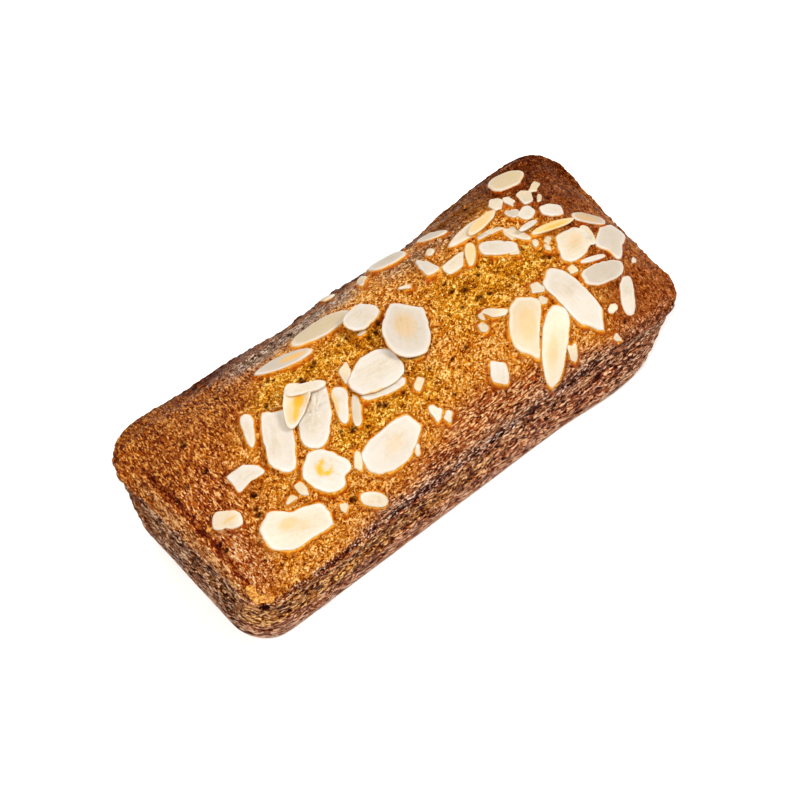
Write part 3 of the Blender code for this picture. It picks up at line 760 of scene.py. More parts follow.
def add_node(tree, kind, settings=(), inputs=(), stops=(), out=0):
    """Adds a node and returns one of its outputs. settings name its properties, inputs pair its
    sockets with constants or with other nodes' outputs, and stops are (position, hex colour)
    pairs of a colour ramp."""
    node = tree.nodes.new(kind)
    for name, value in dict(settings).items():
        setattr(node, name, value)
    for socket, value in dict(inputs).items():
        if isinstance(value, bpy.types.NodeSocket):
            tree.links.new(value, node.inputs[socket])
        else:
            node.inputs[socket].default_value = value
    for number, (position, code) in enumerate(stops):
        elements = node.color_ramp.elements
        element = elements[number] if number < 2 else elements.new(position)
        element.position = position
        element.color = linear(code)
    return node.outputs[out]


print("orange in linear light", [round(value, 3) for value in linear("#C87820")])

# %% [markdown]
# ## The grain of the crust
# Browned sugar and egg make a thin, hard, glossy skin over a dull crumb, and its colour changes
# grain by grain. One noise looks like cloth or fog, so five add up to one number, the speckle:
# grit, bright curls, dark creases, clots and patches. Curls are also ridges of the bump and
# creases its valleys, so the bright curls are partly painted glints and the dark creases are
# painted shade. The height of the relief is added to them as painted light and shade. Each zone
# has a ramp of its own from its darkest crease to its lightest curl, and the same speckle drives
# all of them. The sizes are those of the real thing in millimetres. Sugar crystals are 0.2 to
# 0.4 mm, and the grit has the coarser size, as finer grit would not show. On folded crust the
# noises are drawn out along the folds, and on the wall, which the tin pressed flat, to grains
# 1.2 mm long.
#
# A curl or a crease is a thin line. It lies where a noise passes its middle value, which the
# ramp called THREAD picks out, and such lines cover THREAD_MEAN of the surface.

# %% Noises of the crust
GRIT = 0.4
CURLS = 0.8
CREASES = 1.1
CLOTS = 1.9
PATCHES = 6.0
THREAD = ((0.44, "#000000"), (0.5, "#FFFFFF"), (0.56, "#000000"))
THREAD_MEAN = 0.23


def crust_grain(tree, masks, ways):
    """The fields of a crust. The first of the ways scales the coordinates everywhere, and each
    other one takes over where its mask is. Facets is the height of a grit cell whose face is
    tilted by chance: it rises from the cell's middle in a direction read from its colour."""
    spot = add_node(tree, "ShaderNodeTexCoord", out="Object")
    fields = {}
    for mask, way in ways:
        drawn = add_node(tree, "ShaderNodeMapping", {}, {"Vector": spot, "Scale": way})
        grains = add_node(tree, "ShaderNodeTexVoronoi", {}, {"Vector": drawn, "Scale": 1 / (GRIT * MM)},
                          out="Color")
        from_centre = add_node(tree, "ShaderNodeVectorMath", {"operation": "SUBTRACT"}, {
            0: drawn, 1: grains.node.outputs["Position"]})
        tilt = add_node(tree, "ShaderNodeVectorMath", {"operation": "SUBTRACT"},
                        {0: grains, 1: (0.5, 0.5, 0.5)})
        facets = add_node(tree, "ShaderNodeVectorMath", {"operation": "DOT_PRODUCT"}, {
            0: from_centre, 1: tilt}, out="Value")
        found = {"grit": grains, "facets": facets}
        # In the colour, curls are partly painted glints on the bump's ridges and creases are painted shade in
        # its valleys
        for name, cell, twist in (("curls", CURLS, 1.2), ("creases", CREASES, 1.0)):
            found[name] = add_node(tree, "ShaderNodeTexNoise", {}, {
                "Vector": drawn, "Scale": 1 / (cell * MM), "Detail": 1.0, "Distortion": twist}, out="Fac")
        for name, field in found.items():
            if name in fields:
                field = add_node(tree, "ShaderNodeMix", {"data_type": "FLOAT"}, {
                    0: masks[mask], 2: fields[name], 3: field})
            fields[name] = field
    centred = add_node(tree, "ShaderNodeMath", {"operation": "SUBTRACT"}, {0: fields["grit"], 1: 0.5})
    fields["grit"] = add_node(tree, "ShaderNodeMath", {"operation": "MULTIPLY"},
                              {0: centred, 1: masks["fine"]})
    for name in ("curls", "creases"):
        fields[name] = add_node(tree, "ShaderNodeValToRGB", {}, {"Fac": fields[name]}, THREAD)
    for name, cell in (("clots", CLOTS), ("patches", PATCHES)):
        fields[name] = add_node(tree, "ShaderNodeTexNoise", {}, {
            "Vector": spot, "Scale": 1 / (cell * MM), "Detail": 1.0}, out="Fac")
    return fields


print("grit, curls, creases, clots and patches in mm", (GRIT, CURLS, CREASES, CLOTS, PATCHES))

# %% [markdown]
# ## Colours of the zones
# Each row is a zone with five colours, from the darkest crease to the lightest grain. The darkest
# are partly painted shade in the creases, and the lightest are partly painted glints of the sugar.
# They were matched to the picture under the lamps below. One ramp for the whole loaf, made lighter
# or darker, would be shorter, but browning changes the hue too: from yellow over orange to a red
# brown. The grey of the band on the back slope is painted sheen.

# %% Ramps of the zones
STEPS = (0.02, 0.26, 0.5, 0.76, 0.97)
TOP_ZONES = (
    ("orange", "#742C02 #AE6206 #C4801C #D0963E #F0C48A"),
    ("golden", "#703602 #A66404 #C4820C #DAA238 #F4D68E"),
    ("left_end", "#600C01 #8C4004 #A65C14 #BC762C #E4B480"),
    ("left_top", "#580801 #803A01 #9C5408 #B06C20 #D4A05C"),
    ("left_low", "#701E02 #9E4E10 #B4702E #C28850 #E4C4A0"),
    ("right_end", "#581802 #803A04 #945218 #A66830 #CC9668"),
    ("front", "#440400 #863204 #A24E0C #BA702C #F2C898"),
    # painted sheen: the grey of a grazing reflection on the back slope
    ("back_sheen_band", "#200200 #6A4830 #90725A #B49A86 #DCCCC2"),
    ("rear_dark", "#200402 #401402 #582404 #763406 #A0622C"),
    ("rim_dark", "#380200 #7E4624 #A06842 #BC8862 #ECCAAC"),
    ("rim_red", "#3C0A02 #6C2C04 #8A4410 #A06428 #CCA070"),
    # painted shade in the groove along the front lip, and painted glints as its lightest colour
    ("rim_line", "#240402 #4C1408 #743420 #A07460 #F4E0D4"),
)
SIDE_ZONES = (
    ("brown", "#2C0200 #743012 #965430 #B47852 #E4B894"),
    ("grainy", "#3E0802 #743A0E #985C20 #B8803C #E0B880"),
    # painted sheen under the lip
    ("wall_grey_sheen", "#3A1006 #7E4A2A #A06C46 #B88862 #DCB896"),
    ("smooth", "#4A1A08 #7A4220 #925832 #A66C44 #D0AE94"),
    ("end_wall", "#300800 #5E2E0C #744422 #885E3C #C8AC94"),
)


def crust_colours(tree, masks, speckle, zones):
    """The first zone's ramp everywhere, and the others laid over it by their masks."""
    colour = None
    for name, codes in zones:
        ramp = add_node(tree, "ShaderNodeValToRGB", {}, {"Fac": speckle}, tuple(zip(STEPS, codes.split())))
        if colour is None:
            colour = ramp
        else:
            colour = add_node(tree, "ShaderNodeMix", {"data_type": "RGBA"},
                              {0: masks[name], 6: colour, 7: ramp}, out=2)
    return colour


print("zones", len(TOP_ZONES) + len(SIDE_ZONES))

# %% [markdown]
# ## Two finishes from the same parts
# The top and the tin side share their grain and their gloss, so two functions make what is alike
# in both. The first one reads the masks and adds the noises up, each with a weight. The sum is
# centred on 0.5, the middle of the zones' ramps, and the mask called bold narrows it.

# %% Start a crust finish
def add_up(tree, parts, start):
    """The sum of fields times weights, from a start."""
    total = start
    for field, weight in parts:
        total = add_node(tree, "ShaderNodeMath", {"operation": "MULTIPLY_ADD"},
                         {0: field, 1: weight, 2: total})
    return total


def crust_start(name, mask_names, ways, weights):
    """A new material with its masks, its grain and its speckle."""
    finish = bpy.data.materials.new(name)
    finish.use_nodes = True
    tree = finish.node_tree
    masks = {key: add_node(tree, "ShaderNodeAttribute", {"attribute_name": key}, out="Fac")
             for key in mask_names}
    fields = crust_grain(tree, masks, ways)
    middle = {"grit": 0.0, "curls": THREAD_MEAN, "creases": THREAD_MEAN, "clots": 0.5, "patches": 0.5,
              "relief_shading": 0.0}
    fields["relief_shading"] = masks["relief_shading"]
    start = 0.5 - sum(weight * middle[key] for key, weight in weights.items())
    speckle = add_up(tree, [(fields[key], weight) for key, weight in weights.items()], start)
    speckle = add_node(tree, "ShaderNodeMath", {"operation": "SUBTRACT"}, {0: speckle, 1: 0.5})
    speckle = add_up(tree, [(speckle, masks["bold"])], 0.5)
    return finish, tree, masks, fields, speckle


print("steps of a zone's ramp", STEPS)

# %% [markdown]
# A sugar skin is clear like glass, with an IOR of 1.4 to 1.5 and nothing metallic, and its
# reflections are tinted by the caramel. The gloss is broken up: sugar grains tilt the light each
# their own way, so the crust glitters in points instead of shining in one patch. Bump does this,
# because the mesh is too coarse to tilt such small grains.

# %% End a crust finish
FACET_HEIGHT = 0.9


def crust_end(tree, masks, fields, colour, gloss, grain_height):
    """Darkens the pits with painted shade, adds the gloss and the fine bump, and returns the
    shader. gloss is the lowest and the highest roughness, and grain_height is the height of the
    bump in mm."""
    # painted shade in the pits
    painted_pit_shade = add_node(tree, "ShaderNodeMath", {"operation": "MULTIPLY"}, {0: masks["pit_shade"], 1: 0.85})
    colour = add_node(tree, "ShaderNodeMix", {"data_type": "RGBA"},
                      {0: painted_pit_shade, 6: colour, 7: linear("#2A0C02")}, out=2)
    height = add_up(tree, [(fields["curls"], 0.3), (fields["creases"], -0.3),
                           (fields["facets"], FACET_HEIGHT / (GRIT * MM))], 0.0)
    shader = tree.nodes["Principled BSDF"]
    tree.links.new(colour, shader.inputs["Base Color"])
    tree.links.new(add_node(tree, "ShaderNodeBump", {}, {"Distance": grain_height * MM, "Height": height}),
                   shader.inputs["Normal"])
    low, high = gloss
    tree.links.new(add_node(tree, "ShaderNodeMapRange", {}, {
        "Value": fields["patches"], "From Min": 0.35, "From Max": 0.65, "To Min": low, "To Max": high}),
        shader.inputs["Roughness"])
    shader.inputs["IOR"].default_value = 1.4
    shader.inputs["Specular Tint"].default_value = linear("#FFE6C4")
    return shader


print("a facet of the grit rises", FACET_HEIGHT, "of the bump's height")

# %% [markdown]
# The browned top is the glossiest part: its roughness was matched at 0.12 to 0.28, near that of
# a boiled sweet. Where almonds lie, sugar and oil turned it to glowing caramel. That is a ramp
# on nearness, from brown to amber, which clots and grit break up so that it fades out unevenly.

# %% The top crust
# These weights paint glints on the curls, shade in the creases, and light and shade by the relief's height
finish, tree, masks, fields, speckle = crust_start(
    "browned_crust", list(TOP_MASKS) + list(SHARED_MASKS),
    (("all", (0.8, 1.0, 1.0)), ("folds", (0.4, 1.6, 1.6)), ("across_end", (1.2, 0.5, 1.0))),
    {"grit": 1.1, "curls": 0.3, "creases": -0.65, "clots": 0.25, "patches": 0.4, "relief_shading": 0.3})
colour = crust_colours(tree, masks, speckle, TOP_ZONES)
halo = add_up(tree, [(fields["clots"], 1.8), (fields["grit"], 0.3), (masks["near"], 1.0)], -0.9)
caramel = add_node(tree, "ShaderNodeValToRGB", {}, {"Fac": masks["near"]},
                   ((0.5, "#983E02"), (0.68, "#B85C04"), (0.84, "#CE8016"), (0.96, "#E4AA44")))
share = add_node(tree, "ShaderNodeMapRange", {}, {
    "Value": halo, "From Min": 0.56, "From Max": 0.9, "To Min": 0.0, "To Max": 0.92})
colour = add_node(tree, "ShaderNodeMix", {"data_type": "RGBA"}, {0: share, 6: colour, 7: caramel}, out=2)
shader = crust_end(tree, masks, fields, colour, gloss=(0.12, 0.28), grain_height=0.45)
tree.links.new(masks["shine"], shader.inputs["Specular IOR Level"])
browned = finish
print("nodes of the top crust", len(tree.nodes))

# %% [markdown]
# The side was baked against the greased tin. It is duller, with a roughness of 0.3 to 0.5 and a
# low specular level, because steam kept the sugar from setting to a skin there.

# %% The tin side
# These weights paint glints on the curls, shade in the creases, and light and shade by the relief's height
finish, tree, masks, fields, speckle = crust_start(
    "tin_baked_side", list(SIDE_MASKS) + list(SHARED_MASKS),
    (("all", (0.32, 0.32, 0.75)), ("folds", (0.24, 0.24, 0.8))),
    {"grit": 1.25, "curls": 0.4, "creases": -0.85, "clots": 0.4, "patches": 0.45, "relief_shading": 0.4})
colour = crust_colours(tree, masks, speckle, SIDE_ZONES)
resting = add_node(tree, "ShaderNodeMath", {"operation": "MULTIPLY"}, {0: masks["foot"], 1: 0.6})
colour = add_node(tree, "ShaderNodeMix", {"data_type": "RGBA"},
                  {0: resting, 6: colour, 7: linear("#966238")}, out=2)
shader = crust_end(tree, masks, fields, colour, gloss=(0.3, 0.5), grain_height=0.3)
shader.inputs["Specular IOR Level"].default_value = 0.2
tin_side = finish
for sheet in sheets:
    sheet.materials.append(browned)
    sheet.materials.append(tin_side)
print("nodes of the side", len(tree.nodes))

# %% [markdown]
# ## The almond flakes
# A slice of almond is flat, with a thin rounded edge, and it sags a little onto the dome. A
# plane with thickness would be quicker, but its edge would be square. So each flake is a
# closed body: two faces of rings laid on the dome, joined by a rounded edge. The outline is
# the blunted oval with its broken edges and a little unevenness.

# %% The outline of a flake
def outline(flake, angle):
    """The flake's outline in its own plane."""
    power = 2.0 / flake.blunt
    cosine = np.sign(np.cos(angle)) * np.abs(np.cos(angle)) ** power
    sine = np.sign(np.sin(angle)) * np.abs(np.sin(angle)) ** power
    u = cosine * flake.long / 2
    v = sine * flake.wide / 2 * (1.0 + flake.taper * cosine)
    for direction, distance in flake.cuts:
        over = np.maximum(u * cos(radians(direction)) + v * sin(radians(direction)) - distance, 0.0)
        u = u - over * cos(radians(direction))
        v = v - over * sin(radians(direction))
    factor = ragged(flake, u, v)
    return u * factor, v * factor


print("first flake's tip lies", round(float(outline(first, 0.0)[0]), 1), "mm from its middle")

# %% [markdown]
# The rings lie closer together near the edge, where the slice turns round. Both faces follow the
# dome and carry the faint waves of the cut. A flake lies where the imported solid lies, pressed
# 0.12 mm deeper into the crust.

# %% The two faces of a flake
REACHES = np.array([0.1, 0.2, 0.31, 0.42, 0.53, 0.64, 0.74, 0.82, 0.88, 0.93, 0.965, 0.988, 1.0])
FLAKE_POINTS = 88
FLAKE_SINK = 0.12


def flake_body(flake, points, sink=0.0):
    """Points, faces and the share of the way to the edge of a closed flake, in millimetres."""
    angle = np.linspace(0.0, 2 * pi, points, endpoint=False)
    u, v = outline(flake, angle)
    share = np.concatenate([[0.0], np.repeat(REACHES, points)])
    u = np.concatenate([[0.0], np.outer(REACHES, u).ravel()])
    v = np.concatenate([[0.0], np.outer(REACHES, v).ravel()])
    turn = radians(flake.turn)
    px = flake.x + u * cos(turn) - v * sin(turn)
    py = flake.y + u * sin(turn) + v * cos(turn)
    wave = 0.12 * (1.0 + ripple(px / 4.0, py / 4.0, flake.x))
    bed = dome_height(px, py) + GAP - sink + raised(flake, px, py) + wave
    step = 0.2
    tilt = np.stack([dome_height(px - step, py) - dome_height(px + step, py),
                     dome_height(px, py - step) - dome_height(px, py + step),
                     np.full(len(px), 2 * step)], axis=1)
    tilt /= np.linalg.norm(tilt, axis=1, keepdims=True)
    soft = min(0.5, 0.7 / flake.wide)
    edge = np.sqrt(1.0 - np.clip((share - 1.0 + soft) / soft, 0.0, 1.0) ** 2)
    dish = 0.05 * ripple(px / 2.2, py / 2.2, flake.y) * (1.0 - share**4)
    upper = np.column_stack([px, py, bed]) + tilt * (flake.thick * (0.5 + 0.5 * edge) + dish)[:, None]
    lower = np.column_stack([px, py, bed]) + tilt * (flake.thick * (0.5 - 0.5 * edge))[:, None]
    return upper, lower, share


print("rings of a flake", len(REACHES), "points round it", FLAKE_POINTS)

# %% [markdown]
# A mesh also needs to know which points make a face. Triangles close the middle of each side,
# and quads join one ring to the next. The lower side's faces are turned to look down.

# %% Join the points to faces
def flake_faces(points, start=0):
    """Faces of a flake whose upper points come first and whose lower rings end at the edge."""
    rings = len(REACHES)
    ring = np.arange(points)
    after = (ring + 1) % points
    size = 1 + rings * points
    faces = []
    for side, turned in ((0, False), (size, True)):
        def spot(number, index):
            on_edge = number == rings - 1
            return start + (0 if on_edge else side) + 1 + number * points + index
        sheets = [np.stack([np.full(points, start + side), spot(0, ring), spot(0, after)], axis=1).tolist()]
        for number in range(rings - 1):
            sheets.append(np.stack([spot(number, ring), spot(number + 1, ring), spot(number + 1, after),
                                    spot(number, after)], axis=1).tolist())
        for sheet in sheets:
            faces += [face[::-1] for face in sheet] if turned else sheet
    return faces, size


print("faces of a flake", len(flake_faces(FLAKE_POINTS)[0]))

# %% [markdown]
# ## What each flake shows
# No two slices look alike. Most are ivory with a faint tan heart, and a white rim that is painted
# light, the lit edge of the slice. Some toasted to gold, some went grey and waxy where syrup soaked
# in, and a few carry a stain: the amber hook on the round one, the tan heart of others. The orange
# in the hollow of the curled one is painted shade and glow, where the curl shades itself and light
# shines through. Noise alone would give each the same blotches, so each flake has a share of gold
# and of grey, by its number, and the stains are soft ovals. A minus means the second slice on that
# flake.

# %% Tints and marks of the flakes
GOLD = {3: 0.35, 5: 0.2, 11: 0.75, 14: 0.2, 16: 0.35, 18: 0.15, 22: 0.2, 23: 0.8, 25: 0.2, 26: 0.25,
        28: 1.0, 30: 0.25, 35: 0.6, 36: 0.35, 39: 0.75, -3: 0.1, -25: 0.6, -30: 0.4}
GREY = {6: 0.25, 9: 0.4, 10: 0.2, 11: 0.7, 12: 0.85, 14: 0.5, 19: 0.6, 20: 0.7, 21: 0.3, 24: 0.2, 29: 1.0,
        31: 0.45, 33: 0.8, 34: 0.35, 35: 0.4, 37: 0.4, 38: 0.3, 39: 0.5}
# Each mark is (flake, x, y, length, width, turn, amber, tan), in plan millimetres.
MARKS = (
    # The amber marks on flake 3 are painted shade and glow in the hollow of its curl.
    (3, -31.6, 2.9, 5.0, 2.8, 34, 0.9, 0.0), (3, -34.0, 0.9, 5.4, 1.6, 44, 0.8, 0.0),
    (3, -30.2, 4.6, 3.6, 3.6, 20, 0.7, 0.0), (3, -35.0, 1.6, 6.0, 2.4, 52, 0.25, 0.1),
    (4, -38.6, -13.6, 3.2, 1.9, 72, 0.95, 0.0), (4, -37.2, -12.4, 2.4, 1.1, 22, 0.9, 0.0),
    (4, -37.5, -15.2, 2.6, 1.1, -18, 0.95, 0.0), (4, -36.2, -15.0, 1.3, 0.9, 40, 0.85, 0.0),
    (5, -52.6, -18.6, 5.4, 2.8, -12, 0.12, 0.6), (5, -50.6, -20.4, 5.6, 2.6, -34, 0.0, 0.4),
    (6, -19.4, -19.2, 6.0, 3.4, 15, 0.0, 0.35), (-25, 39.4, 15.4, 11.0, 3.2, 12, 0.25, 0.0),
    (9, 2.6, 2.8, 9.0, 6.0, 60, 0.0, 0.55), (12, -23.4, 15.0, 7.6, 1.7, -16, 0.3, 0.8),
    (16, -62.4, -8.2, 3.6, 0.7, -14, 0.25, 0.6), (30, 55.6, -3.0, 5.0, 3.6, 20, 0.0, 0.35),
    (28, 53.8, 2.7, 8.0, 1.0, -13, 0.5, 0.4), (36, 29.5, -23.2, 9.0, 2.6, 43, 0.05, 0.4),
    (35, 28.0, -15.0, 9.0, 5.0, 50, 0.0, 0.6), (13, -24.8, -3.0, 7.6, 1.2, 62, 0.5, 0.2),
    (29, 63.9, 1.3, 7.0, 2.6, -41, 0.0, 0.6),
)


def mark_strengths(number, points):
    """How amber and how tan each point of a flake is. On flake 3 the amber is painted shade and
    glow in the hollow of its curl.
    """
    amber_and_shade = np.zeros(len(points))
    tan = np.zeros(len(points))
    for flake, mx, my, long, wide, turn, amber_share, tan_share in MARKS:
        if flake == number:
            way = radians(turn)
            u = ((points[:, 0] - mx) * cos(way) + (points[:, 1] - my) * sin(way)) / (long / 2)
            v = ((points[:, 1] - my) * cos(way) - (points[:, 0] - mx) * sin(way)) / (wide / 2)
            here = 1.0 - ease(u * u + v * v, 0.2, 1.5)
            amber_and_shade = np.maximum(amber_and_shade, amber_share * here)
            tan = np.maximum(tan, tan_share * here)
    return amber_and_shade, tan


# %% [markdown]
# One function makes a piece of one or more slices and keeps their masks. The mask called rim
# runs from 0 in the middle to 1 at the edge, and slice holds each point's place along and across
# its slice, so that streaks can follow the turn of the flake.

# %% A piece from its slices
def flake_object(name, bodies, tints):
    """An object of one or more closed flakes, with their masks."""
    points = []
    faces = []
    shares = []
    slices = []
    for flake, body in bodies:
        upper, lower, share = body
        some, size = flake_faces((len(share) - 1) // len(REACHES), start=sum(len(part) for part in points))
        faces += some
        points += [upper, lower]
        shares += [share, share]
        turn = radians(flake.turn)
        for part in (upper, lower):
            dx, dy = part[:, 0] - flake.x, part[:, 1] - flake.y
            slices.append(np.column_stack([dx * cos(turn) + dy * sin(turn),
                                           dy * cos(turn) - dx * sin(turn), part[:, 2]]))
    mesh = bpy.data.meshes.new(name)
    rows = np.concatenate(points)
    mesh.from_pydata((rows * MM).tolist(), [], faces)
    masks = [tints(place, np.concatenate(body[:2])) for place, (flake, body) in enumerate(bodies)]
    for key in masks[0]:
        keep(mesh, key, np.concatenate([part[key] for part in masks]))
    keep(mesh, "rim", np.concatenate(shares))
    keep(mesh, "slice", np.concatenate(slices) * MM)
    bm = bmesh.new()
    bm.from_mesh(mesh)
    bmesh.ops.delete(bm, geom=[vert for vert in bm.verts if not vert.link_faces], context="VERTS")
    bm.to_mesh(mesh)
    bm.free()
    mesh.shade_smooth()
    thing = bpy.data.objects.new(name, mesh)
    bpy.context.scene.collection.objects.link(thing)
    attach(thing, "root")
    return thing


def flake_tints(number):
    """A function that gives the masks of a flake's points, and of the slice that lies on it."""
    def tints(place, rows):
        key = number if place == 0 else -number
        amber_and_shade, tan = mark_strengths(key, rows)
        return {"amber_and_shade": amber_and_shade, "tan": tan, "gold": np.full(len(rows), GOLD.get(key, 0.0)),
                "grey": np.full(len(rows), GREY.get(key, 0.0))}
    return tints


print("masks of a flake", sorted(flake_tints(1)(0, np.zeros((1, 3)))))

# %% [markdown]
# Flake 2 shows fine cross wrinkles in its upper half, which are pressed into its face before the
# mesh is written. Flake 3 is a curled trough whose far band folds over, and 25 and 30 have a
# neighbour stuck to them. Bending one sheet over itself would need far more points, so the
# band and the neighbours are second slices in the same piece.

# %% Build every flake
# The second slices: the folded band of 3, the yellow slice on 25, the thin slice behind 30
SECOND = {3: almond(-28.4, 4.4, 10.6, 3.0, -25, blunt=2.6, taper=-0.1, lift=2.4, thick=1.2,
                    dents=((0, 0.12, 14), (-110, -0.12, 22))),
          25: almond(39.4, 15.2, 11.0, 3.2, 12, blunt=2.1, lift=0.9, thick=0.9),
          30: almond(59.6, -3.2, 7.0, 3.2, 72, blunt=2.4, lift=0.3, thick=0.7)}
flakes = []
for number, flake in enumerate(FLAKES, start=1):
    upper, lower, share = flake_body(flake, FLAKE_POINTS, sink=FLAKE_SINK)
    if number == 2:
        turn = radians(flake.turn)
        along_flake = (upper[:, 0] - flake.x) * cos(turn) + (upper[:, 1] - flake.y) * sin(turn)
        across_flake = (upper[:, 1] - flake.y) * cos(turn) - (upper[:, 0] - flake.x) * sin(turn)
        wrinkle = fold(along_flake / 1.0 + 0.12 * across_flake, across_flake / 3.4, 3.0)
        upper[:, 2] += 0.5 * wrinkle * ease(along_flake, -4.0, 1.0) * (1.0 - share**6)
    bodies = [(flake, (upper, lower, share))]
    if number in SECOND:
        bodies.append((SECOND[number], flake_body(SECOND[number], FLAKE_POINTS, sink=FLAKE_SINK)))
    piece = flake_object(f"flake_{number:02d}", bodies, flake_tints(number))
    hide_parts(f"almond_{number:02d}")
    flakes.append(piece)
print("flakes", len(flakes), "faces each", len(flakes[0].data.polygons))

# %% [markdown]
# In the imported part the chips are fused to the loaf, all but four thin slivers. Here they are
# one piece of their own, sunk a little into the crust, so that they can have the almonds'
# colours. Slow noise over the loaf makes some of them golden and some grey.

# %% Build the chips
CHIP_POINTS = 40
CHIP_SINK = 0.3


def chip_tints(place, rows):
    """The masks of a chip's points."""
    return {"amber_and_shade": np.zeros(len(rows)), "tan": np.zeros(len(rows)),
            "gold": np.clip(0.3 + 0.6 * ripple(rows[:, 0] / 9.0, rows[:, 1] / 9.0, 2.0), 0, 1),
            "grey": np.clip(0.2 + 0.8 * ripple(rows[:, 0] / 8.0, rows[:, 1] / 8.0, 5.0), 0, 1)}


chip_bodies = [(chip, flake_body(chip, CHIP_POINTS, sink=CHIP_SINK)) for chip in CHIPS]
chips = flake_object("almond_chips", chip_bodies, chip_tints)
print("chips", len(CHIPS), "faces", len(chips.data.polygons))

# %% [markdown]
# ## The finish of the almonds
# A blanched almond is dense, oily and slightly see-through: light enters and comes out softened,
# so it takes subsurface scattering of about half a millimetre and a low, waxy gloss at the IOR
# of almond oil, 1.47. A plain cream colour would look like plastic. Clouds of 4 mm, flesh
# grain of 0.8 mm and streaks along the slice, 0.8 mm apart and 5 mm long, move it between
# ivory and tan, and the rim is whiter than the heart, which is painted light on the lit edge.

# %% Almond colours
almond_finish = bpy.data.materials.new("sliced_blanched_almond")
almond_finish.use_nodes = True
tree = almond_finish.node_tree
ALMOND_MASKS = ("rim", "gold", "grey", "tan", "amber_and_shade")
masks = {key: add_node(tree, "ShaderNodeAttribute", {"attribute_name": key}, out="Fac")
         for key in ALMOND_MASKS}
spot = add_node(tree, "ShaderNodeTexCoord", out="Object")
slice_spot = add_node(tree, "ShaderNodeAttribute", {"attribute_name": "slice"}, out="Vector")
slice_way = add_node(tree, "ShaderNodeMapping", {}, {"Vector": slice_spot, "Scale": (0.16, 1.0, 0.2)})
CLOUD = 4.0
FLESH = 0.8
cloud, flesh, streak = (
    add_node(tree, "ShaderNodeTexNoise", {}, {"Vector": way, "Scale": 1 / (cell * MM), "Detail": 2.0},
             out="Fac")
    for way, cell in ((spot, CLOUD), (spot, FLESH), (slice_way, FLESH)))
heart = add_node(tree, "ShaderNodeMapRange", {}, {
    "Value": masks["rim"], "From Min": 0.95, "From Max": 0.35, "To Min": 0.0, "To Max": 0.6})
mottled = add_up(tree, [(cloud, 1.0), (flesh, 0.7), (streak, 0.8), (heart, 0.6)], -1.1)
colour = add_node(tree, "ShaderNodeValToRGB", {}, {"Fac": mottled}, (
    (0.0, "#C0B8AE"), (0.45, "#BCB2A4"), (0.8, "#B5A892"), (1.0, "#AF9677")))
# amber holds real stains and, on flake 3, painted shade and glow in its hollow
for name, code, strength in (("gold", "#C8AC72", 0.8), ("grey", "#A09484", 0.8), ("tan", "#C09A60", 0.8),
                             ("amber_and_shade", "#D29A0C", 1.0)):
    part = add_node(tree, "ShaderNodeMath", {"operation": "MULTIPLY"}, {0: masks[name], 1: strength})
    colour = add_node(tree, "ShaderNodeMix", {"data_type": "RGBA"},
                      {0: part, 6: colour, 7: linear(code)}, out=2)
# painted light: the rim is lightened as the lit edge of the slice
lit_edge = add_node(tree, "ShaderNodeMapRange", {}, {
    "Value": masks["rim"], "From Min": 0.78, "From Max": 0.93, "To Min": 0.0, "To Max": 0.6})
colour = add_node(tree, "ShaderNodeMix", {"data_type": "RGBA"},
                  {0: lit_edge, 6: colour, 7: linear("#C3BCB4")}, out=2)
print("nodes of the almonds' colour", len(tree.nodes))

# %% [markdown]
# Syrup crept into the lower edge of the slices and stained it amber, more in some places than
# in others. The amber is also painted glow, where light shines through the thin edge. The waxy
# face has a roughness near 0.46, as a fresh cut nut has, and shallow grooves from the blade.

# %% Soaked edges and wax
# partly syrup stain, partly painted glow of the thin edge
soaked_and_glow = add_up(tree, [(cloud, 0.25), (masks["rim"], 1.0)], -0.125)
soaked_and_glow = add_node(tree, "ShaderNodeMapRange", {}, {
    "Value": soaked_and_glow, "From Min": 0.94, "From Max": 1.03, "To Min": 0.0, "To Max": 0.85})
colour = add_node(tree, "ShaderNodeMix", {"data_type": "RGBA"},
                  {0: soaked_and_glow, 6: colour, 7: linear("#CE9434")}, out=2)
grooves = add_up(tree, [(flesh, 0.6), (streak, 0.8)], 0.0)
shader = tree.nodes["Principled BSDF"]
tree.links.new(colour, shader.inputs["Base Color"])
blade_marks = add_node(tree, "ShaderNodeBump", {}, {
    "Strength": 0.5, "Distance": 0.15 * MM, "Height": grooves})
tree.links.new(blade_marks, shader.inputs["Normal"])
shader.inputs["Roughness"].default_value = 0.46
shader.inputs["IOR"].default_value = 1.47
shader.inputs["Subsurface Weight"].default_value = 0.25
shader.inputs["Subsurface Radius"].default_value = (0.9, 0.6, 0.3)
shader.inputs["Subsurface Scale"].default_value = 0.6 * MM
for piece in flakes + [chips]:
    piece.data.materials.append(almond_finish)
print("pieces of almond", len(flakes) + 1)

# %% [markdown]
# ## Loose crumbs
# A thin flap of torn crust sits on the front left corner, and a few small yellow crumbs lie on
# the rim. They could be part of the crust's relief, but they lie loose on it. The flap is made
# like a flake, only thinner and more ragged. The crumbs are little balls pushed out of shape
# by noise, each as (x, y, radius).

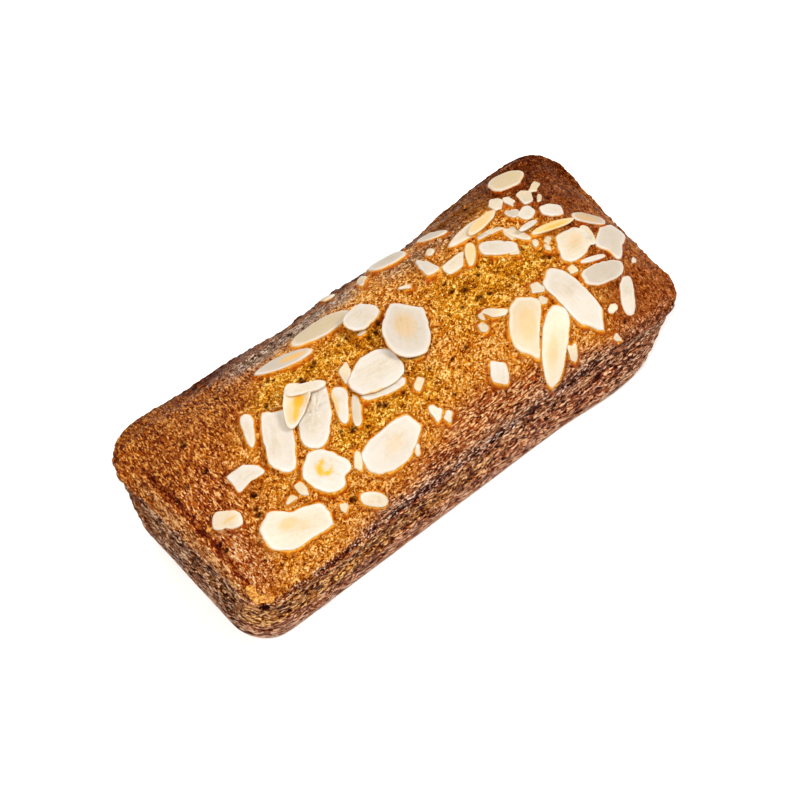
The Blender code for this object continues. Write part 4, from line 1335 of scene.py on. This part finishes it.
# %% Build the flap and the crumbs
FLAPS = (almond(-69.3, -25.6, 5.6, 2.3, 84, blunt=2.6, lift=0.2, thick=0.6,
                dents=((40, 0.25, 16), (0, -0.2, 20))),
         almond(-67.9, -28.2, 4.4, 1.9, -38, blunt=2.2, lift=0.3, thick=0.6, dents=((60, 0.3, 20),)))
CRUMBS = ((-67.0, -6.1, 0.9), (-66.2, -6.9, 0.6), (-66.6, -5.3, 0.45), (47.5, -29.2, 0.9))
flap_bodies = [(part, flake_body(part, FLAKE_POINTS)) for part in FLAPS]
flap = flake_object("torn_flap", flap_bodies, lambda place, rows: {})
bm = bmesh.new()
for cx, cy, radius in CRUMBS:
    floor_z = float(dome_height(np.float64(cx), np.float64(cy)))
    for vert in bmesh.ops.create_icosphere(bm, subdivisions=4, radius=1.0)["verts"]:
        lump = 1.0 + 0.5 * noise.noise(vert.co * 1.6 + Vector((cx, cy, 0.0)))
        lump += 0.14 * noise.noise(vert.co * 5.0)
        shape = Vector((vert.co.x, vert.co.y, 0.25 + 0.6 * vert.co.z)) * radius * lump
        vert.co = (Vector((cx, cy, floor_z)) + shape) * MM
crumb_mesh = bpy.data.meshes.new("crumbs")
bm.to_mesh(crumb_mesh)
bm.free()
crumb_mesh.shade_smooth()
crumbs = bpy.data.objects.new("crumbs", crumb_mesh)
bpy.context.scene.collection.objects.link(crumbs)
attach(crumbs, "root")
print("crumbs", len(CRUMBS))

# %% [markdown]
# A torn crumb shows the inside of the cake: dry, porous and yellow, with pores of 0.7 mm, and
# duller than the crust. The pores drive both the colour and the bump, and the colour is darker
# where the bump is low, as painted shade in the pores.

# %% The finish of the crumbs
crumb_finish = bpy.data.materials.new("dry_cake_crumb")
crumb_finish.use_nodes = True
tree = crumb_finish.node_tree
spot = add_node(tree, "ShaderNodeTexCoord", out="Object")
PORES = 0.7
pores = add_node(tree, "ShaderNodeTexNoise", {}, {
    "Vector": spot, "Scale": 1 / (PORES * MM), "Detail": 3.0, "Roughness": 0.7}, out="Fac")
shader = tree.nodes["Principled BSDF"]
# darker where the pores are low: painted shade in the pores
tree.links.new(add_node(tree, "ShaderNodeValToRGB", {}, {"Fac": pores}, (
    (0.36, "#7A3A04"), (0.48, "#AC701A"), (0.62, "#D4A858"))), shader.inputs["Base Color"])
tree.links.new(add_node(tree, "ShaderNodeBump", {}, {"Strength": 0.8, "Distance": 0.3 * MM, "Height": pores}),
               shader.inputs["Normal"])
shader.inputs["Roughness"].default_value = 0.5
for piece in (flap, crumbs):
    piece.data.materials.append(crumb_finish)
print("crumb finish on", len((flap, crumbs)), "pieces")

# %% [markdown]
# ## Floor and light
# The picture is a bright studio shot on white. A pale floor of matte paper, an even pale
# surround and soft lamps give the same: open shadows, and many small soft lights in the sugar.
# A photographed surround would light it too, but plain lamps can be moved and read. The floor
# lies 0.2 mm below the loaf, so that the two faces don't fight.

# %% The floor
FLOOR_GAP = 0.2
floor_mesh = bpy.data.meshes.new("floor")
bm = bmesh.new()
bmesh.ops.create_grid(bm, x_segments=1, y_segments=1, size=2.0)
bm.to_mesh(floor_mesh)
bm.free()
floor = bpy.data.objects.new("floor", floor_mesh)
floor.location.z = -FLOOR_GAP * MM
bpy.context.scene.collection.objects.link(floor)
floor_finish = bpy.data.materials.new("matte_paper")
floor_finish.use_nodes = True
shader = floor_finish.node_tree.nodes["Principled BSDF"]
shader.inputs["Base Color"].default_value = linear("#F2F1EF")
shader.inputs["Roughness"].default_value = 0.9
floor_mesh.materials.append(floor_finish)
print("floor", FLOOR_GAP, "mm below the loaf")

# %% [markdown]
# The key lamp stands high at the front left, as the small shadows of the raised flakes say, and
# is the smallest, so that it gives the sugar its points of light. The fill opens the right side,
# and a wide lamp behind lights the back slope. Powers are in watts, sizes in metres.

# %% The lights
world = bpy.data.worlds.new("pale_studio")
bpy.context.scene.world = world
world.use_nodes = True
world.node_tree.nodes["Background"].inputs["Color"].default_value = linear("#FFFFFF")
world.node_tree.nodes["Background"].inputs["Strength"].default_value = 0.3


def softbox(name, place, size, power):
    """A square lamp of a size in metres that faces the middle of the loaf."""
    lamp = bpy.data.lights.new(name, "AREA")
    lamp.size = size
    lamp.energy = power
    thing = bpy.data.objects.new(name, lamp)
    thing.location = place
    thing.rotation_euler = (Vector((0.0, 0.0, 0.03)) - Vector(place)).to_track_quat("-Z", "Y").to_euler()
    bpy.context.scene.collection.objects.link(thing)
    return thing


lamps = [softbox("key", (-0.55, -0.35, 1.25), 0.22, 12.5),
         softbox("fill", (0.7, -0.5, 1.05), 0.4, 8.5),
         softbox("back", (0.3, 1.1, 0.7), 0.8, 4.0)]
bpy.context.scene.view_settings.view_transform = "Standard"
bpy.context.scene.view_settings.look = "High Contrast"
print("lamps", [lamp.name for lamp in lamps])
